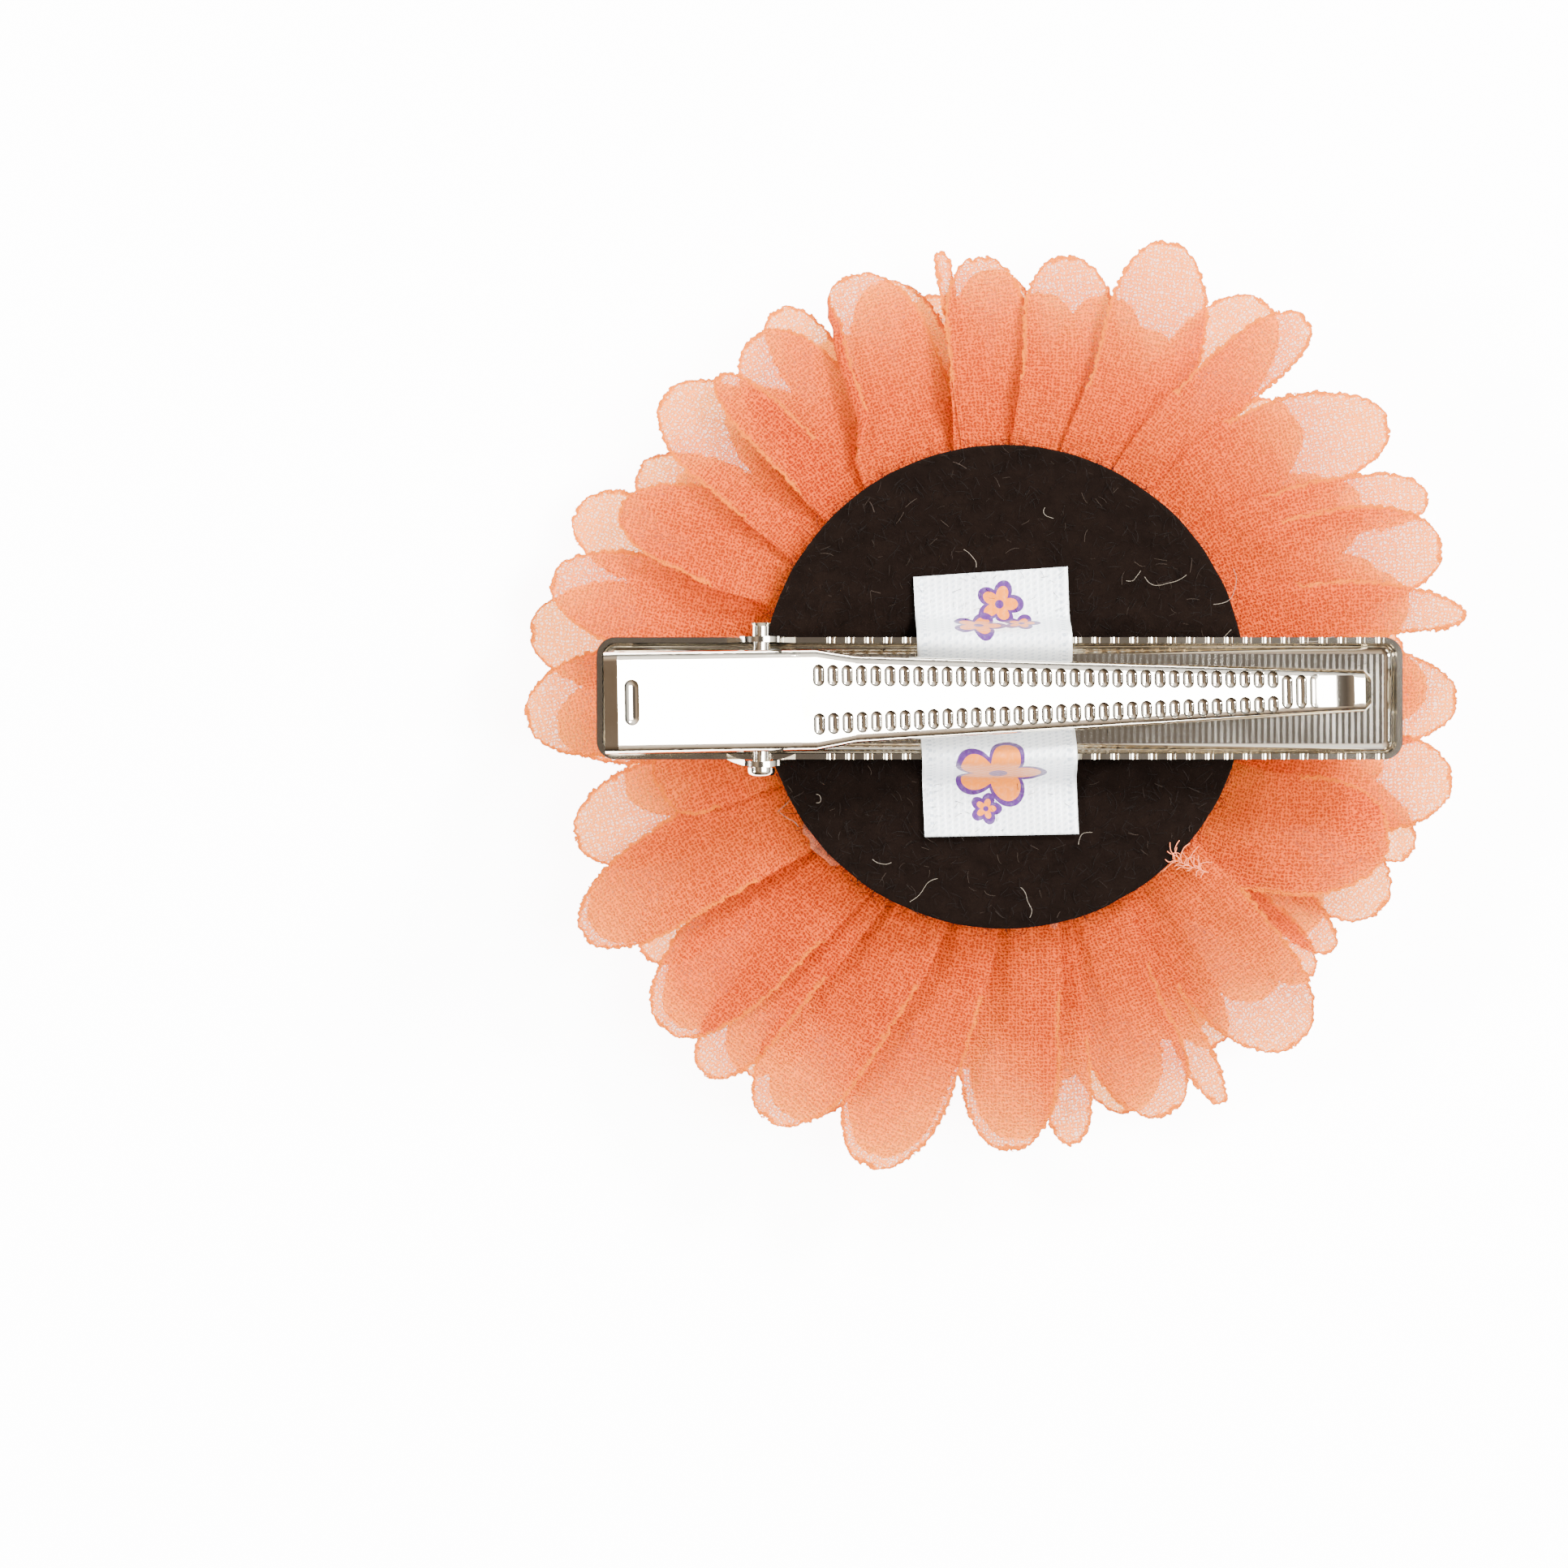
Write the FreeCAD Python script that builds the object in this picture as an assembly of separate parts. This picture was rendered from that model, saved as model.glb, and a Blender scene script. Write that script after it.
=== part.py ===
import FreeCAD, Part
import math
import os

# Flower hair clip, lying on its petals with the clip on top. Millimetres, +Z up.
# The origin is on the surface that it lies on, under the middle of the petals; +X runs along the clip
# towards the tip of its jaws. Every sub-part is one function, and each is written as its own STEP file.

V = FreeCAD.Vector

# ---- driving dimensions -------------------------------------------------------------------------
FLOWER_R = 31.9             # reach of the longest petals from the origin
FELT_R = 16.4               # felt backing disc
FELT_T = 1.2
FELT_X, FELT_Y = 0.3, 1.05  # the felt is glued on a little off the petals' middle
FELT_Z = 12.0               # underside of the felt
GLUE_T = 0.2                # glue film under the clip
RIBBON_GLUE_T = 0.12        # glue film under each end of the ribbon

# ---- chiffon strip, wound in turns --------------------------------------------------------------
STRIP_T = 0.5               # stands for the strip's crimped cloth
STRIP_TOP = 11.6            # gathered edge of every turn, just under the felt
# one row per turn from the back: root radius, height of the bend, reach, height of the tips, petals, slit radius
TURNS = [
    (9.0, 11.55, FLOWER_R, 7.6, 24, 21.5),
    (7.4, 10.05, 30.0, 5.7, 22, 20.5),
    (5.8, 8.6, 27.2, 3.8, 20, 18.5),
    (4.2, 7.2, 23.4, 2.1, 16, 15.5),
    (2.6, 5.8, 18.6, STRIP_T, 12, 12.0),
]
TURN_STAGGER = 0.5          # each turn starts half a petal round from the one behind it
PETAL_FILL = 0.88           # share of the pitch that a petal's rounded end takes
BUD_ROOT_R = 2.1            # rolled start of the strip, in the middle
BUD_R = 4.0
BUD_H = 4.4
BUD_FLAT_R = 3.2
THREAD_R = 0.14             # gathering thread

# ---- clip ---------------------------------------------------------------------------------------
SHEET = 0.38                # nickel-plated steel sheet
BASE_L, BASE_W, BASE_H = 54.1, 8.2, 2.6
BASE_X, BASE_Y = -0.1, 0.23
BASE_Z = FELT_Z + FELT_T + GLUE_T
BASE_CORNER = 1.25          # plan corners, outside
BASE_BEND = 1.15            # bend between floor and walls, outside
RIB_PITCH, RIB_H = 0.42, 0.006
RIB_WALL_H = 0.045
GRIP_X0, GRIP_X1 = -11.4, 26.2      # stretch of the base that is ribbed and serrated
NOTCH_PITCH, NOTCH_R, NOTCH_DEPTH = 1.27, 0.36, 0.2
PIN_X = -16.1
PIN_Z = BASE_Z + 4.1
PIN_R = 0.6
PIN_CLEAR = 0.05
RIVET_Y0, RIVET_Y1 = -5.03, 5.25
HEAD_R, HEAD_T = 0.92, 0.6
RIVET_BORE_R, RIVET_BORE_L = 0.4, 1.1
EAR_HALF = 2.3              # half the width of a base ear at the wall
EAR_R = 1.55
EAR_BOW = 0.55              # how far the south ear stands out past its wall

# ---- arm: heights are above the base's underside ------------------------------------------------
ARM_X0, ARM_X1 = -26.45, 24.95
ARM_Y = 0.02                # the arm can slide a little along its rivet
ARM_KINK_X = -13.4
ARM_END_Z, ARM_KINK_Z, ARM_TIP_Z = 9.3, 6.35, 1.85
ARM_HANDLE_W = 6.75
ARM_NECK_X0, ARM_NECK_X1 = -12.4, -9.8      # shoulder between handle and jaw
ARM_JAW_W, ARM_TIP_W = 5.85, 2.8
ARM_SKIRT = 1.15            # depth of the folded sides below the top face
ARM_BEND = 0.6
ARM_YAW = 1.05              # the arm sits a little askew on its rivet, in degrees
ARM_EAR_R = 1.45
DIMPLE_PITCH, DIMPLE_COUNT = 0.953, 33
DIMPLE_X0 = -12.24          # first dimple, along the arm
DIMPLE_R = 0.5
DIMPLE_DEPTH = 0.13
TOOTH_R = 0.4               # the teeth that the dimples raise underneath
BAR_COUNT = 3
SLOT_X, SLOT_L, SLOT_W = -24.5, 3.65, 1.6
SLOT_DEPTH = 0.16
ARM_END_L, ARM_END_DROP = 0.9, 0.5          # how both ends of the arm turn down
TIP_CORNER = 0.45           # how far the tip's corners are taken off
SCOOP_X0, SCOOP_X1, SCOOP_W = 21.35, 24.2, 2.1      # the smooth dip at the tip
SCOOP_DEPTH = 0.24

# ---- spring -------------------------------------------------------------------------------------
SPRING_T, SPRING_W = 0.3, 4.4
SPRING_BEND_R = 0.8         # inside radius of its bend, round the rivet
SPRING_END_X = -24.8

# ---- ribbon -------------------------------------------------------------------------------------
RIBBON_W, RIBBON_T = 10.4, 0.2
RIBBON_NORTH, RIBBON_SOUTH = 8.8, -9.0
RIBBON_X = -0.26            # middle of the ribbon where it crosses y = 0
RIBBON_LEAN = 2.5           # degrees
RIBBON_FOOT = 1.15          # how far outside a rim the ribbon leaves the felt


def polygon(points):
    """A flat face bounded by straight lines through the points."""
    return Part.Face(Part.makePolygon([V(*p) for p in points] + [V(*points[0])]))


def box(x0, x1, y0, y1, z0, z1):
    return Part.makeBox(x1 - x0, y1 - y0, z1 - z0, V(x0, y0, z0))


def rod(radius, x, z, y0, y1):
    """A cylinder along Y."""
    return Part.makeCylinder(radius, y1 - y0, V(x, y0, z), V(0, 1, 0))


def vertical(edge):
    a, b = (v.Point for v in edge.Vertexes) if len(edge.Vertexes) == 2 else (V(), V(1, 0, 0))
    return abs(a.x - b.x) < 1e-6 and abs(a.y - b.y) < 1e-6


def rounded_tray_block(x0, x1, y0, y1, z0, z1, corner, bend):
    """A block with rounded plan corners and a rounded underside."""
    block = box(x0, x1, y0, y1, z0, z1)
    block = block.makeFillet(corner, [e for e in block.Edges if vertical(e)])
    bottom = [e for e in block.Edges if e.BoundBox.ZMax < z0 + 1e-6]
    return block.makeFillet(bend, bottom)


# ---- flower -------------------------------------------------------------------------------------
def about_flower_axis(profile):
    """Revolves a face drawn in the XZ plane about the vertical line through the origin."""
    return profile.revolve(V(0, 0, 0), V(0, 0, 1), 360)


def petal_outline(count, reach, slit_r, start):
    """The plan of one turn: straight-sided petals with round ends, cut apart down to the slit radius."""
    pitch = 2 * math.pi / count
    end_r = PETAL_FILL * pitch * reach / 2 / (1 + PETAL_FILL * pitch / 2)
    edges = []
    for i in range(count):
        middle = start + i * pitch
        along = V(math.cos(middle), math.sin(middle), 0)
        across = V(-along.y, along.x, 0)
        slit_a = V(math.cos(middle - pitch / 2), math.sin(middle - pitch / 2), 0) * slit_r
        slit_b = V(math.cos(middle + pitch / 2), math.sin(middle + pitch / 2), 0) * slit_r
        side_a = along * (reach - end_r) - across * end_r
        side_b = along * (reach - end_r) + across * end_r
        edges.append(Part.LineSegment(slit_a, side_a).toShape())
        edges.append(Part.Arc(side_a, along * reach, side_b).toShape())
        edges.append(Part.LineSegment(side_b, slit_b).toShape())
    return Part.Face(Part.Wire(edges))


def strip_turn(index):
    """One turn of the gathered strip: an upright root, a bend, and petals that spread outwards."""
    root_r, bend_z, reach, tip_z, count, slit_r = TURNS[index]
    t = STRIP_T
    far = reach + 1
    tip_drop = (bend_z - tip_z) / (reach - root_r) * (far - reach)
    profile = polygon([
        (root_r, 0, STRIP_TOP),
        (root_r, 0, bend_z - t),
        (far, 0, tip_z - t - tip_drop),
        (far, 0, tip_z - tip_drop),
        (root_r + t, 0, bend_z),
        (root_r + t, 0, STRIP_TOP),
    ])
    dish = about_flower_axis(profile)
    start = TURN_STAGGER * index * 2 * math.pi / count
    outline = petal_outline(count, reach, slit_r, start)
    return dish.common(outline.extrude(V(0, 0, STRIP_TOP + 1)))


def centre_bud():
    """The strip's rolled start: a narrow root that opens into a short bud with a flat end."""
    profile = polygon([
        (0, 0, 0),
        (BUD_FLAT_R, 0, 0),
        (BUD_R, 0, BUD_H * 0.3),
        (BUD_R * 0.9, 0, BUD_H * 0.7),
        (BUD_ROOT_R, 0, BUD_H),
        (BUD_ROOT_R, 0, STRIP_TOP),
        (0, 0, STRIP_TOP),
    ])
    return about_flower_axis(profile)


def gathering_thread():
    """A ring of thread drawn tight round the root of each turn."""
    rings = []
    for root_r, *_ in TURNS[1:]:
        ring_r = root_r + STRIP_T + THREAD_R + 0.1
        rings.append(Part.makeTorus(ring_r, THREAD_R, V(0, 0, STRIP_TOP - 0.6)))
    return Part.makeCompound(rings)


# ---- backing ------------------------------------------------------------------------------------
def felt_disc():
    return Part.makeCylinder(FELT_R, FELT_T, V(FELT_X, FELT_Y, FELT_Z))


def felt_glue():
    """The bed of hot-melt glue between the petals' roots and the felt, with two beads at its edge."""
    bed = Part.makeCylinder(14.2, FELT_Z - STRIP_TOP, V(FELT_X, FELT_Y, STRIP_TOP))
    for bead_angle, bead_r in ((219, 1.9), (283, 1.6)):
        angle = math.radians(bead_angle)
        reach = FELT_R - bead_r + 0.7
        at = V(FELT_X + reach * math.cos(angle), FELT_Y + reach * math.sin(angle), STRIP_TOP)
        bed = bed.fuse(Part.makeCylinder(bead_r, FELT_Z - STRIP_TOP, at))
    return bed.removeSplitter()


def clip_glue():
    """The film of glue that holds the clip's base on the felt."""
    half_w = BASE_W / 2 - BASE_BEND - 0.3
    return box(FELT_X - 14.5, FELT_X + 14.5, BASE_Y - half_w, BASE_Y + half_w, FELT_Z + FELT_T, BASE_Z)


def ribbon_slant(y):
    """Where the ribbon's middle is at that y."""
    return RIBBON_X - math.tan(math.radians(RIBBON_LEAN)) * y


def ribbon_cut(y0, y1, half_w, z0, z1):
    """A slanting block as wide as the ribbon, to trim what follows the clip's straight rims."""
    plan = [(ribbon_slant(y) + side * half_w, y, z0)
            for y, side in ((y0, -1), (y0, 1), (y1, 1), (y1, -1))]
    return polygon(plan).extrude(V(0, 0, z1 - z0))


def ribbon_strap():
    """Satin ribbon: glued to the felt, over one rim, through the base under the arm, over the other rim."""
    felt_z = FELT_Z + FELT_T + RIBBON_GLUE_T
    rim_z = BASE_Z + BASE_H + 0.08
    floor_z = BASE_Z + SHEET + RIB_H + 0.12
    half = BASE_W / 2

    def side(sign, end):
        """From the ribbon's end to the base's floor, on one side of the clip."""
        wall = BASE_Y + sign * half
        return [
            (end, felt_z),
            (wall + sign * RIBBON_FOOT, felt_z),
            (wall + sign * 0.2, rim_z),
            (wall - sign * (SHEET + 0.15), rim_z),
            (wall - sign * 1.75, floor_z),
        ]

    lower = side(1, RIBBON_NORTH) + side(-1, RIBBON_SOUTH)[::-1]
    path = Part.makePolygon([V(0, y, z) for y, z in lower])
    # The strap's other face is the same line a ribbon's thickness above, square to each stretch.
    upper = []
    for i, (y, z) in enumerate(lower):
        normals = []
        for (ya, za), (yb, zb) in zip(lower[max(i - 1, 0):i + 1], lower[max(i, 1):i + 2]):
            length = math.hypot(yb - ya, zb - za)
            normals.append(((zb - za) / length, -(yb - ya) / length))
        ny = sum(n[0] for n in normals) / len(normals)
        nz = sum(n[1] for n in normals) / len(normals)
        grow = RIBBON_T / (ny * ny + nz * nz)
        upper.append((y + ny * grow, z + nz * grow))
    face = polygon([(0, y, z) for y, z in lower + upper[::-1]])
    wide = RIBBON_W * 2
    strap = face.extrude(V(wide, 0, 0))
    strap.translate(V(-wide / 2, 0, 0))
    return strap.common(ribbon_cut(RIBBON_SOUTH - 1, RIBBON_NORTH + 1, RIBBON_W / 2, FELT_Z, rim_z + 3))


def ribbon_glue(y0, y1):
    return ribbon_cut(y0, y1, RIBBON_W / 2 - 0.5, FELT_Z + FELT_T, FELT_Z + FELT_T + RIBBON_GLUE_T)


# ---- clip ---------------------------------------------------------------------------------------
def ridge_row(x0, x1, pitch, height):
    """The saw-toothed outline, as (along, up) points, of a row of ridges with a thin root."""
    count = int((x1 - x0) / pitch)
    points = [(x0, -0.05)]
    for i in range(count):
        start = x0 + i * pitch
        points += [(start, 0), (start + pitch / 2, height)]
    points += [(x0 + count * pitch, 0), (x0 + count * pitch, -0.05)]
    return points


def base_ear(wall_y, sign, bow):
    """A rounded ear standing up from one wall, bowed outwards in plan by bow."""
    inner = wall_y - sign * SHEET
    x0, x1 = PIN_X - EAR_HALF, PIN_X + EAR_HALF
    if bow > 0:
        out = sign * bow
        arc_out = Part.Arc(V(x0, wall_y, 0), V(PIN_X, wall_y + out, 0), V(x1, wall_y, 0)).toShape()
        arc_in = Part.Arc(V(x1, inner, 0), V(PIN_X, inner + out, 0), V(x0, inner, 0)).toShape()
        ends = [Part.LineSegment(V(x1, wall_y, 0), V(x1, inner, 0)).toShape(),
                Part.LineSegment(V(x0, inner, 0), V(x0, wall_y, 0)).toShape()]
        plan = Part.Face(Part.Wire([arc_out, ends[0], arc_in, ends[1]]))
    else:
        plan = polygon([(x0, wall_y, 0), (x1, wall_y, 0), (x1, inner, 0), (x0, inner, 0)])
    plan.translate(V(0, 0, BASE_Z + BASE_BEND + 0.1))
    sheet = plan.extrude(V(0, 0, PIN_Z + EAR_R - BASE_Z))
    shoulder_z = BASE_Z + BASE_H
    outline = polygon([
        (x0, 0, BASE_Z), (x1, 0, BASE_Z), (x1, 0, shoulder_z),
        (PIN_X + EAR_R * 0.93, 0, PIN_Z + EAR_R * 0.35),
        (PIN_X - EAR_R * 0.93, 0, PIN_Z + EAR_R * 0.35), (x0, 0, shoulder_z),
    ])
    outline.translate(V(0, -BASE_W, 0))
    profile = outline.extrude(V(0, 2 * BASE_W, 0)).fuse(rod(EAR_R, PIN_X, PIN_Z, -BASE_W, BASE_W))
    return sheet.common(profile)


def clip_base():
    """The lower jaw: a stamped tray with a ribbed floor, serrated rims and two ears for the rivet."""
    x0, x1 = BASE_X - BASE_L / 2, BASE_X + BASE_L / 2
    y0, y1 = BASE_Y - BASE_W / 2, BASE_Y + BASE_W / 2
    top = BASE_Z + BASE_H
    outer = rounded_tray_block(x0, x1, y0, y1, BASE_Z, top, BASE_CORNER, BASE_BEND)
    hollow = rounded_tray_block(x0 + SHEET, x1 - SHEET, y0 + SHEET, y1 - SHEET, BASE_Z + SHEET, top + 1,
                                BASE_CORNER - SHEET, BASE_BEND - SHEET)
    tray = outer.cut(hollow)

    # Faint ridges across the floor, and ridges up the inside of the north wall.
    floor_row = polygon([(x, y0, BASE_Z + SHEET + z)
                         for x, z in ridge_row(GRIP_X0, GRIP_X1, RIB_PITCH, RIB_H)])
    wall_row = polygon([(x, y1 - SHEET - z, BASE_Z + SHEET)
                        for x, z in ridge_row(GRIP_X0, GRIP_X1, RIB_PITCH, RIB_WALL_H)])
    tray = tray.fuse([floor_row.extrude(V(0, BASE_W, 0)).common(hollow),
                      wall_row.extrude(V(0, 0, BASE_H - SHEET - NOTCH_DEPTH - 0.15)).common(hollow)])

    # Serrations along both rims.
    notches = []
    count = int((GRIP_X1 - GRIP_X0) / NOTCH_PITCH) + 1
    for i in range(count):
        notches.append(rod(NOTCH_R, GRIP_X0 + i * NOTCH_PITCH, top + NOTCH_R - NOTCH_DEPTH, y0 - 1, y1 + 1))
    tray = tray.cut(notches)

    # Ears. The south one is bowed out, so its wall is cut away behind the bow.
    tray = tray.cut(box(PIN_X - EAR_HALF, PIN_X + EAR_HALF, y0 - 1, y0 + SHEET,
                        BASE_Z + BASE_BEND + 0.1, top + 1))
    tray = tray.fuse([base_ear(y0, -1, EAR_BOW), base_ear(y1, 1, 0)])
    return tray.cut(rod(PIN_R, PIN_X, PIN_Z, y0 - 2, y1 + 2)).removeSplitter()


def arm_top_z(x):
    """Height of the arm's top face at x."""
    if x < ARM_KINK_X:
        share = (x - ARM_X0) / (ARM_KINK_X - ARM_X0)
        return BASE_Z + ARM_END_Z + (ARM_KINK_Z - ARM_END_Z) * share
    share = (x - ARM_KINK_X) / (ARM_X1 - ARM_KINK_X)
    return BASE_Z + ARM_KINK_Z + (ARM_TIP_Z - ARM_KINK_Z) * share


def arm_section(x, width, drop, depth, bend):
    """The arm's outline across its length at x: drop below the top face, depth tall, rounded above."""
    half = width / 2
    top = arm_top_z(x) - drop
    foot = top - depth
    diagonal = bend * (1 - math.sqrt(0.5))
    return Part.Wire([
        Part.LineSegment(V(x, -half, foot), V(x, -half, top - bend)).toShape(),
        Part.Arc(V(x, -half, top - bend), V(x, -half + diagonal, top - diagonal),
                 V(x, -half + bend, top)).toShape(),
        Part.LineSegment(V(x, -half + bend, top), V(x, half - bend, top)).toShape(),
        Part.Arc(V(x, half - bend, top), V(x, half - diagonal, top - diagonal),
                 V(x, half, top - bend)).toShape(),
        Part.LineSegment(V(x, half, top - bend), V(x, half, foot)).toShape(),
        Part.LineSegment(V(x, half, foot), V(x, -half, foot)).toShape(),
    ])


def arm_block(inset, depth):
    """The arm's solid outline, drawn in by inset on its sides, ends and top."""
    stations = [(ARM_X0 + inset, ARM_HANDLE_W, ARM_END_DROP), (ARM_X0 + ARM_END_L, ARM_HANDLE_W, 0),
                (ARM_KINK_X, ARM_HANDLE_W, 0), (ARM_NECK_X0, ARM_HANDLE_W, 0), (ARM_NECK_X1, ARM_JAW_W, 0),
                (ARM_X1 - ARM_END_L / 2, ARM_TIP_W, 0), (ARM_X1 - inset, ARM_TIP_W - 2 * TIP_CORNER, ARM_END_DROP / 2)]
    sections = [arm_section(x, w - 2 * inset, inset + drop, depth - drop, ARM_BEND - inset)
                for x, w, drop in stations]
    return Part.makeLoft(sections, True, True)


def capsule(radius, length, x, y, z):
    """A round-ended bar along Y."""
    bar = rod(radius, x, z, y - length / 2, y + length / 2)
    ends = [Part.makeSphere(radius, V(x, y + s * length / 2, z)) for s in (-1, 1)]
    return bar.fuse(ends)


def arm_marks(radius, above_top):
    """One capsule for each dimple of the two rows, and one for each bar by the tip."""
    marks = []
    for i in range(DIMPLE_COUNT):
        x = DIMPLE_X0 + i * DIMPLE_PITCH
        share = i / (DIMPLE_COUNT - 1)
        row_y = 1.62 - 0.8 * share
        length = 0.7 - 0.3 * share
        for y in (-row_y, row_y):
            marks.append(capsule(radius, length, x, y, arm_top_z(x) + above_top))
    for i in range(BAR_COUNT):
        x = DIMPLE_X0 + (DIMPLE_COUNT + i) * DIMPLE_PITCH
        marks.append(capsule(radius, 1.5, x, 0, arm_top_z(x) + above_top))
    return marks


def clip_arm():
    """The upper jaw: a folded channel with a wide handle, a tapering jaw, pressed dimples and two ears."""
    shell = arm_block(0, ARM_SKIRT).cut(arm_block(SHEET, ARM_SKIRT + 1))

    # Ears inside the base's ears, reaching down round the rivet.
    ears = []
    half = ARM_HANDLE_W / 2
    for y in (-half, half - SHEET):
        ear = box(PIN_X - ARM_EAR_R, PIN_X + ARM_EAR_R, y, y + SHEET, PIN_Z, arm_top_z(PIN_X) - 0.5)
        ears.append(ear.fuse(rod(ARM_EAR_R, PIN_X, PIN_Z, y, y + SHEET)))
    shell = shell.fuse(ears)

    # Teeth below first, then the dimples that raise them, and the pressed oblong by the handle's end.
    shell = shell.fuse(arm_marks(TOOTH_R, -SHEET + TOOTH_R - DIMPLE_DEPTH - 0.02))
    shell = shell.cut(arm_marks(DIMPLE_R, DIMPLE_R - DIMPLE_DEPTH))
    press_r = SLOT_W / 2
    shell = shell.cut(capsule(press_r, SLOT_L - SLOT_W, SLOT_X, 0,
                              arm_top_z(SLOT_X) + press_r - SLOT_DEPTH))
    scoop_x, reach = (SCOOP_X0 + SCOOP_X1) / 2, (SCOOP_X1 - SCOOP_X0) / 2
    scoop_r = (reach ** 2 + SCOOP_DEPTH ** 2) / (2 * SCOOP_DEPTH)
    shell = shell.cut(rod(scoop_r, scoop_x, arm_top_z(scoop_x) + scoop_r - SCOOP_DEPTH, -SCOOP_W / 2, SCOOP_W / 2))

    # The arm turns askew about the middle of the rivet, and its holes stay on the rivet's axis.
    shell.translate(V(0, ARM_Y, 0))
    shell.rotate(V(PIN_X, ARM_Y, 0), V(0, 0, 1), ARM_YAW)
    return shell.cut(rod(PIN_R + PIN_CLEAR, PIN_X, PIN_Z, -BASE_W, BASE_W)).removeSplitter()


def hinge_rivet():
    """A semi-tubular rivet: a low head on the south side, a hollow end on the north side."""
    shank = rod(PIN_R, PIN_X, PIN_Z, RIVET_Y0 + HEAD_T, RIVET_Y1)
    head = rod(HEAD_R, PIN_X, PIN_Z, RIVET_Y0, RIVET_Y0 + HEAD_T)
    rim = [e for e in head.Edges if e.BoundBox.YMax < RIVET_Y0 + 1e-6]
    head = head.makeFillet(HEAD_T * 0.6, rim)
    bore = rod(RIVET_BORE_R, PIN_X, PIN_Z, RIVET_Y1 - RIVET_BORE_L, RIVET_Y1 + 1)
    lip_y = RIVET_Y1 - 0.22
    lip = Part.makeCone(PIN_R, PIN_R + 0.12, 0.22, V(PIN_X, lip_y, PIN_Z), V(0, 1, 0))
    return shank.fuse([head, lip]).cut(bore).removeSplitter()


def clip_spring():
    """A strip of spring steel bent round the rivet, one leg on the base's floor, one under the handle."""
    r_in, r_out = SPRING_BEND_R, SPRING_BEND_R + SPRING_T
    run = PIN_X - SPRING_END_X
    floor_z = BASE_Z + SHEET + 0.06
    handle_z = arm_top_z(SPRING_END_X) - SHEET - 0.12

    def leg(sign, end_z):
        """A straight leg from the bend to the spring's end, as a face."""
        near = PIN_Z + sign * r_in
        far = PIN_Z + sign * r_out
        end_far = end_z
        end_near = end_z - sign * SPRING_T
        return polygon([(PIN_X, 0, near), (PIN_X, 0, far), (SPRING_END_X, 0, end_far),
                        (SPRING_END_X, 0, end_near)])

    bend = rod(r_out, PIN_X, PIN_Z, 0, SPRING_W).cut(rod(r_in, PIN_X, PIN_Z, -1, SPRING_W + 1))
    bend = bend.common(box(PIN_X, PIN_X + run, -1, SPRING_W + 1, PIN_Z - 5, PIN_Z + 5))
    legs = [leg(1, handle_z).extrude(V(0, SPRING_W, 0)), leg(-1, floor_z).extrude(V(0, SPRING_W, 0))]
    spring = bend.fuse(legs).removeSplitter()
    spring.translate(V(0, BASE_Y - SPRING_W / 2, 0))
    return spring


def write(name, shape):
    """Writes one sub-part, after checking that it is made of sound closed solids."""
    solids = shape.Solids
    sound = bool(solids) and all(s.isValid() and s.isClosed() and s.Volume > 0 for s in solids)
    print(f"{name:20s} solids {len(solids)}  volume {shape.Volume:8.2f} mm3  sound {sound}")
    if len(solids) == 1:
        shape = solids[0]
    shape.exportStep(f"parts/{name}.step")


os.makedirs("parts", exist_ok=True)
write("clip_base", clip_base())
write("clip_arm", clip_arm())
write("hinge_rivet", hinge_rivet())
write("clip_spring", clip_spring())
write("felt_disc", felt_disc())
write("felt_glue", felt_glue())
write("clip_glue", clip_glue())
write("ribbon_strap", ribbon_strap())
write("ribbon_glue_north", ribbon_glue(RIBBON_NORTH - 3.0, RIBBON_NORTH - 0.3))
write("ribbon_glue_south", ribbon_glue(RIBBON_SOUTH + 0.3, RIBBON_SOUTH + 3.2))
for turn in range(len(TURNS)):
    write(f"petal_turn_{turn + 1}", strip_turn(turn))
write("centre_bud", centre_bud())
write("gathering_thread", gathering_thread())
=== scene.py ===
import math
import random

import bpy
import numpy as np
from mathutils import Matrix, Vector, noise


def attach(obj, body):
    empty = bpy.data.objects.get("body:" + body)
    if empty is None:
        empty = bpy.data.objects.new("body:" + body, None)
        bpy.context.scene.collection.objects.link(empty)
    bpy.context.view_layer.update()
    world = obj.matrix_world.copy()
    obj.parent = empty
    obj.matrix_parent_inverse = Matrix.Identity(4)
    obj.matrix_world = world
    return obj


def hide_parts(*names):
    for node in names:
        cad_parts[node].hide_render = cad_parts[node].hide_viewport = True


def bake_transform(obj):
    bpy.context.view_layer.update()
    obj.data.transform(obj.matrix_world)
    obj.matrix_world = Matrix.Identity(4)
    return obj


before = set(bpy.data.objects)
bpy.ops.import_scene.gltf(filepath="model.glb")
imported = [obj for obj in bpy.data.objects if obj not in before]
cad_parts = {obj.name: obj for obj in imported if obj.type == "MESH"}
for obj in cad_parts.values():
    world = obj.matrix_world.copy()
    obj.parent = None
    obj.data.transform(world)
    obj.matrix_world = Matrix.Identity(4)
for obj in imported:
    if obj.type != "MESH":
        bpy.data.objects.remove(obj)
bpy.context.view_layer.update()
FIXED, ARM = "back_and_flower", "arm"
AXIS = Vector((0.0004, 0.00108, 0))  # the petals spread from a point a little off the outline's middle


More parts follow.
